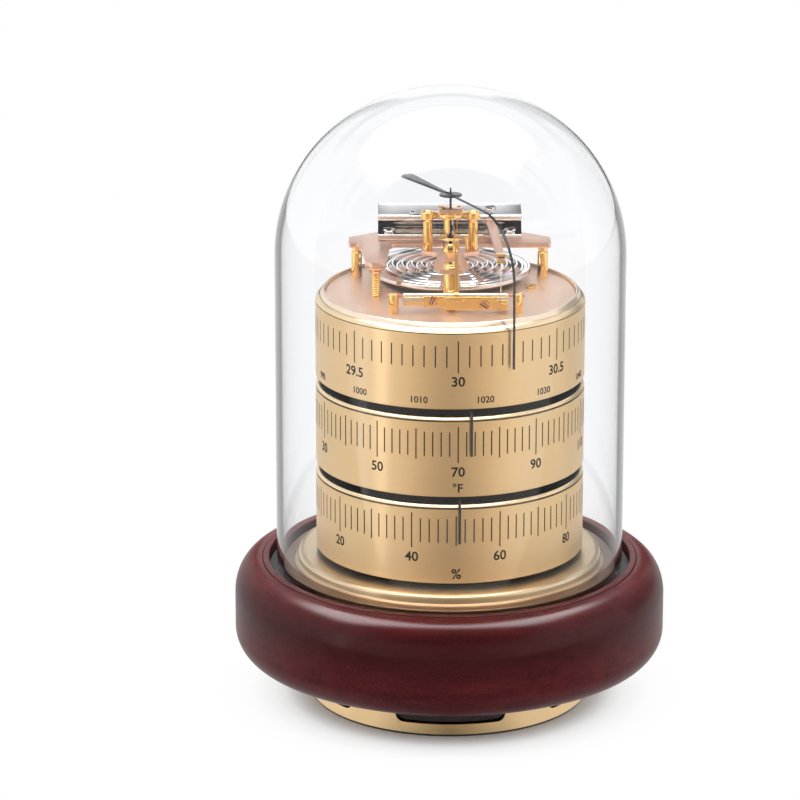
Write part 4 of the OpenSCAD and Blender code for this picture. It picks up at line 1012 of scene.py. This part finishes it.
class BuildMovement(bpy.types.Operator):
    """The movement frame: column, plate, nut, pillars, bridge, tube, block and bush"""
    bl_idname = "station.movement"
    bl_label = "Movement frame"

    def execute(self, context):
        base, (under, top) = PLATE_TOP, levels("movement_plate")
        column = lathe([(0, base), (3, base), (3, under), (0, under)], [0.2, 0.3])
        make("frame_column", moved(column, (0, COLUMN_Y, 0)), "gold", "movement_column")
        outline = [(-10.8, 4.6), (-10.8, -0.2), (-4.4, -3), (-6.4, -20), (-4.6, -27.2),
                   (4.6, -27.2), (6.4, -20), (4.4, -3), (10.8, -0.2), (10.8, 4.6)]
        sheet = plate(rounded(outline, [1.2, 1.2, 2, 1.5, 0.6, 0.6, 1.5, 2, 1.2, 1.2], 6),
                      top - under)
        make("frame_plate", moved(sheet, (0, 0, under)), "copper", "movement_plate")
        z0, z1 = levels("column_nut")
        nut = lathe([(0, z0), (3.2, z0), (3.15, z0 + 0.8), (2.7, z0 + 1.0), (2.6, z1), (0, z1)],
                    [0.1, 0.35, 0.2, 0.5], 6)
        make("frame_nut", moved(nut, (0, COLUMN_Y, 0)), "gold", "column_nut")
        tube_z, z1 = levels("movement_bridge")
        bar = z1 - 1.8

        def pair(shape):
            return [moved(shape, (s * PILLAR_X, PILLAR_Y, 0)) for s in (-1, 1)]

        pillar = lathe([(0, top), (1.75, top), (1.75, bar - 1.7), (2.6, bar - 0.9), (2.6, bar),
                        (0, bar)], [0.15, 0.5, 0.5, 0.2], 6)
        make("gilt_pillars", together(*pair(pillar)), "gold", "movement_pillars")
        # Bar with round ends, a disc in its middle, ring caps over the pillars and the tube
        ends = [arc(s * PILLAR_X, PILLAR_Y, 2.6, 2.6, a, a + 180, 16) * (1, 0.62) + (0, 0.76)
                for s, a in ((1, -90), (-1, 90))]
        strap = plate(np.vstack(ends), 1.3, 0.12)
        cap = lathe([(0, bar), (2.6, bar), (2.6, z1 - 0.25), (2.35, z1), (1.75, z1),
                     (1.5, z1 - 0.35), (0, z1 - 0.35)], [0.15, 0.3, 0.2, 0.2, 0.15])
        disc = lathe([(0, bar - 0.1), (4.0, bar - 0.1), (4.8, bar + 0.5), (4.8, z1), (0, z1)],
                     [0.4, 0.4, 0.3], 6)
        # The tube's front and back are open between its two cheeks
        p, (number,) = turned(looped([(2.0, tube_z), (2.7, tube_z), (2.7, bar + 0.2),
                                      (2.0, bar + 0.2)], 0.15), 64)
        middle = p[number].mean(1)
        cheek = (middle[:, 0] < -0.3) | (middle[:, 0] > 2.3) | (middle[:, 2] > bar - 1.2)
        make("gilt_tube", (p, [number[cheek]]), "gold")
        make("gilt_bridge", together(moved(strap, (0, 0, bar + 0.2)), disc, *pair(cap)), "gold",
             "movement_bridge")
        z0, z1 = levels("top_block")
        block = plate(rounded([(-4.6, -3.8), (4.6, -3.8), (4.6, 3.8), (-4.6, 3.8)], 0.5),
                      z1 - z0 - 0.3, 0.22)
        seat = turned([(0, z0), (3.4, z0), (3.4, z0 + 0.4), (0, z0 + 0.4)], 48)
        make("rose_block", together(moved(block, (0, 0, z0 + 0.3)), seat), "copper_block",
             "top_block")
        heads = [moved(slotted_head(0.85, 0.3, turn), (x, y, z1 - 0.06))
                 for x, y, turn in ((-3.2, -0.6, 30), (3.1, 0.6, -50))]
        make("block_screws", together(*heads), "rose")
        z0, z1 = levels("lower_bush")
        bush = turned(looped([(0.7, z0), (1.6, z0), (1.6, top), (3.2, top), (2.9, top + 1.2),
                              (2.0, z1 - 0.4), (1.6, z1), (0.7, z1)],
                             [0.05, 0.1, 0.1, 0.2, 1, 0.4, 0.2, 0.1], 6), 64)
        make("gilt_bush", bush, "gold", "lower_bush")
        return {"FINISHED"}


class BuildSpindle(bpy.types.Operator):
    """The pointer spindle, the hairspring that winds round it and the spring's stud"""
    bl_idname = "station.spindle"
    bl_label = "Spindle and hairspring"

    def execute(self, context):
        z0, z1 = levels("barometer_spindle")
        line = [(0, z0), (0.6, z0), (0.6, HAIR_Z - 0.6), (1.2, HAIR_Z - 0.6),
                (1.2, HAIR_Z + 0.6), (0.6, HAIR_Z + 0.7), (0.6, 179.6), (0.9, 179.6),
                (0.9, 181.6), (0.42, 181.7), (0.42, 193.2), (0.3, 193.4), (0.3, z1 - 0.5), (0, z1)]
        make("spindle_rod", lathe(line, 0.08, 4, 32), "grey_pointer", "barometer_spindle",
             slot="steel_plain")
        # Spiral: the radius grows evenly with the angle
        a = np.linspace(0, 4 * TURN, 385)
        r = 1.7 + 0.9 * a / TURN
        path = np.stack([r * np.cos(a), r * np.sin(a), np.full_like(a, HAIR_Z)], 1)
        make("hair_spiral", swept(path, circle(0.15, 8), (0, 0, 1)), "gold", "hairspring",
             sharp=60)
        low, high = span("hairspring_stud")
        stud = lathe([(0, low[2]), (0.5, low[2]), (0.5, high[2]), (0, high[2])], [0.1, 0.15],
                     4, 24)
        make("spiral_stud", moved(stud, (low[0] + 0.5, 0, 0)), "gold", "hairspring_stud")
        return {"FINISHED"}


class BuildPointer(bpy.types.Operator):
    """The barometer pointer: hub disc, broad tail and a needle that curves down to the drum"""
    bl_idname = "station.pointer"
    bl_label = "Barometer pointer"

    def execute(self, context):
        at, level, thick = 25.5, 192.8, 0.45
        middle, bend_x, bend_z, out = level + thick / 2, 27, 171, 52 - thick / 2
        bend = arc(bend_x, bend_z, 25 - thick / 2, middle - bend_z, 90, 0, 40)
        line = np.vstack([[(0, middle), (12, middle)], bend,
                          [(out, 155), (out, levels("barometer_pointer")[0])]])
        needle = swept(azimuth(at, *line.T), oblong(0.5, thick / 2, 0.1),
                       azimuth(at + 90, 1.0, 0.0),
                       np.interp(np.arange(len(line)), [0, 1, 20, len(line) - 1],
                                 [1.0, 1.0, 0.95, 0.85]))
        hub = moved(plate(circle(4.2, 40), thick, 0.08), (0, 0, level))
        tail = rounded([(0.6, 0), (1.3, 35.7), (-1.8, 36.5), (-4.2, 34.2), (-0.8, 0)],
                       [0.05, 0.8, 1, 1.2, 0.05], 6)
        tail = moved(plate(tail, thick, 0.08), (0, 0, level), at)
        make("curved_pointer", together(needle, hub, tail), "grey_pointer", "barometer_pointer")
        return {"FINISHED"}


class BuildStage(bpy.types.Operator):
    """Floor, lamps, world and camera"""
    bl_idname = "station.stage"
    bl_label = "Stage"

    def execute(self, context):
        scene = context.scene
        scene.view_settings.view_transform = "Standard"
        self.floor(scene)
        self.world(scene)
        for name, spot, aim, wide, high, power in (
                ("top_lamp", (0.0, -0.35, 1.25), (0, 0, 0.05), 1.0, 0.7, 7.0),
                ("left_lamp", (-1.15, -0.25, 0.7), (0, 0, 0.1), 0.5, 0.9, 5.5),
                ("right_lamp", (1.15, -0.3, 0.65), (0, 0, 0.1), 0.5, 0.9, 6.5)):
            lamp = bpy.data.lights.new(name, "AREA")
            lamp.shape, lamp.size, lamp.size_y, lamp.energy = "RECTANGLE", wide, high, power
            light = bpy.data.objects.new(name, lamp)
            light.visible_glossy = light.visible_transmission = False
            light.location = spot
            light.rotation_euler = (Vector(spot) - Vector(aim)).to_track_quat("Z", "Y").to_euler()
            scene.collection.objects.link(light)
        camera = bpy.data.cameras.new("camera")
        camera.sensor_width, camera.lens, camera.clip_start = 36.0, 196.05, 0.05
        view = bpy.data.objects.new("camera", camera)
        view.location = (-0.01862, -1.5555, 0.58505)
        view.rotation_euler = (np.radians(73.159), 0.0, 0.0)
        scene.collection.objects.link(view)
        scene.camera = view
        return {"FINISHED"}

    def floor(self, scene):
        """White paper: it takes the object's shadow near it, where its white glow fades out as
        painted shade round the foot, and is plain white elsewhere.
        """
        data = bpy.data.meshes.new("floor")
        data.from_pydata([(-1.6, -0.2, 0), (1.6, -0.2, 0), (1.6, 1.6, 0), (-1.6, 1.6, 0)], [],
                         [(0, 1, 2, 3)])
        floor = bpy.data.objects.new("floor", data)
        scene.collection.objects.link(floor)
        f = Finish("studio_floor")
        bare, bounced, pane, outside = self.rays(f)
        spot = f.add("ShaderNodeTexCoord", out="Object")
        reach = f.distance(spot)
        paper = f.blend(f.noise(spot, scale=40.0), (0.9, 0.9, 0.9, 1), (0.93, 0.93, 0.93, 1))
        lit = f.principled(Base_Color=paper, Roughness=0.9, Specular_IOR_Level=0.1)
        # Painted shade: the glow that whitens the paper falls to nothing towards the foot, so the
        # floor darkens there whatever the light
        lift = f.ramp(reach, (0.052, 0), (0.057, 0.25), (0.064, 0.75), (0.075, 0.94), (0.09, 0.99))
        # Metal sees it dimmer in front of the object and close to it
        turn = self.heading(f, spot)[0]
        near = f.ramp(turn, (0.3, 0.95), (0.4, 0.85), (0.44, 0.5), (0.5, 0.2), (0.56, 0.5),
                      (0.6, 0.85), (0.7, 0.95))
        level = near + f.ramp(reach, (0.1, 0), (0.25, 0.15), (0.33, 0.32), (0.45, 0.32),
                              (0.5, 0.25), (0.545, 1)) * (1 - near)
        # Gloss outside the dome hardly sees it in front
        dull = (outside * f.ramp(reach, (0.095, 0), (0.12, 0.8), (0.3, 0.9), (1, 0.9))
                * f.ramp(f.math("ABSOLUTE", turn - 0.5), (0.12, 1), (0.22, 0)))
        strength = (1 - bounced * (1 - level)) * (1 - pane * 0.9) * (1 - dull)
        data.materials.append(f.surface(f.either(bare * lift + bounced * 0.95, lit,
                                                 f.glow(strength, kind="Emission"))))

    def world(self, scene):
        """A white room: plain light for lighting, and bands and soft boxes for metal to see."""
        scene.world = bpy.data.worlds.new("studio")
        w = Finish("studio", scene.world)
        turn, (x, y, z) = self.heading(w, w.add("ShaderNodeTexCoord", out="Generated"))
        # Low band by direction: dim in front, white beside and behind, one bright strip left
        low = w.ramp(turn, (0, 0.5), (0.02, 0.5), (0.027, 0.04), (0.036, 0.04), (0.05, 0.35),
                     (0.1, 0.38), (0.18, 0.4), (0.21, 0.5), (0.322, 0.5), (0.328, 1), (0.341, 1),
                     (0.346, 0.42), (0.4, 0.38), (0.45, 0.26), (0.5, 0.18), (0.55, 0.26),
                     (0.6, 0.38), (0.65, 0.5), (0.79, 0.5), (0.82, 0.2), (0.9, 0.12), (0.92, 0.3),
                     (0.935, 0.3), (0.945, 0.03), (0.972, 0.03), (0.98, 0.5), (1, 0.5)) * 2.6
        over = w.ramp(z, (0.34, 0), (0.42, 1))
        beside = w.ramp(w.math("ABSOLUTE", x), (0.5, 0), (0.65, 0.9))
        behind = (w.ramp(w.math("ABSOLUTE", turn - 0.5), (0.36, 0), (0.42, 1))
                  * w.ramp(z, (0.45, 0), (0.48, 1), (0.62, 1), (0.7, 0)))
        # A soft box overhead: metal under the glass sees it from in front, varnish from above
        bare, bounced, pane, outside = self.rays(w)
        across, ahead = x * 0.5 + 0.5, y * 0.5 + 0.5
        above = w.ramp(ahead, (0.38, 0), (0.48, 1), (0.84, 1), (0.92, 0)) * (outside * 5)
        forward = w.ramp(ahead, (0.03, 0), (0.1, 1), (0.62, 1), (0.7, 0)) * (1 - outside)
        soft = (w.ramp(across, (0.14, 0), (0.22, 1), (0.72, 1), (0.8, 0))
                * w.ramp(z, (0.66, 0), (0.8, 1)) * (above + forward))
        tone = w.blend(w.ramp(ahead, (0.05, 0), (0.3, 1)), (1.0, 0.82, 0.6, 1), (1, 1, 1, 1))
        seen = low * (1 - over) + over * (0.12 + beside) + behind * 0.9 + soft * 4
        white = w.glow(1.0)
        mix = w.either(bounced, w.glow(0.62), w.glow(seen, tone))
        mix = w.either(bare, w.either(pane, mix, white), white)
        w.add("ShaderNodeOutputWorld", None, {"Surface": mix})

    def heading(self, f, where):
        """A direction's turn from the front, 0 to 1 with the front at 0.5 and the right at 0.75,
        and its x, y and z."""
        split = f.add("ShaderNodeSeparateXYZ", None, {0: where})
        x, y, z = (Wire(f, split.socket.node.outputs[i]) for i in range(3))
        return f.math("ARCTAN2", x, 0 - y) * (1 / TURN) + 0.5, (x, y, z)

    def rays(self, f):
        """Switches for a ray straight from the camera or through glass, one that has come off
        metal or gloss, one off the inside of the dome's wall, and one off gloss outside it."""
        camera = f.add("ShaderNodeLightPath", out="Is Camera Ray")
        glossy, through, depth, walls = (Wire(f, camera.socket.node.outputs[name]) for name in (
            "Is Glossy Ray", "Is Transmission Ray", "Glossy Depth", "Transmission Depth"))
        off = f.math("MINIMUM", depth, 1.0)
        thin = f.math("LESS_THAN", walls, 3.5)
        outside = glossy * (1 - through)
        return (f.math("ADD", camera, through * (1 - off), clamp=True),
                f.math("ADD", outside, through * off, clamp=True), through * off * thin, outside)


BUILDERS = (BuildFoot, BuildBase, BuildDish, BuildDrums, BuildScales, BuildDrumPointers,
            BuildTopPlate, BuildCapsule, BuildBridge, BuildMainspring, BuildArm, BuildShaft,
            BuildMovement, BuildSpindle, BuildPointer, BuildDome, BuildStage)


class StationPanel(bpy.types.Panel):
    """Lists the sizes, the colours and the pieces"""
    bl_idname = "VIEW3D_PT_station"
    bl_label = "Weather station"
    bl_space_type = "VIEW_3D"
    bl_region_type = "UI"
    bl_category = "Weather station"

    def draw(self, context):
        for group in (context.scene.station_sizes, context.scene.station_colours):
            for key in type(group).__annotations__:
                self.layout.prop(group, key)
        for builder in BUILDERS:
            self.layout.operator(builder.bl_idname)


CLASSES = (StationSizes, StationColours, *BUILDERS, StationPanel)


def register():
    for kind in CLASSES:
        bpy.utils.register_class(kind)
    bpy.types.Scene.station_sizes = PointerProperty(type=StationSizes)
    bpy.types.Scene.station_colours = PointerProperty(type=StationColours)


def unregister():
    del bpy.types.Scene.station_colours
    del bpy.types.Scene.station_sizes
    for kind in reversed(CLASSES):
        bpy.utils.unregister_class(kind)


def main():
    register()
    for builder in BUILDERS:
        group, name = builder.bl_idname.split(".")
        getattr(getattr(bpy.ops, group), name)()


if __name__ == "__main__":
    main()
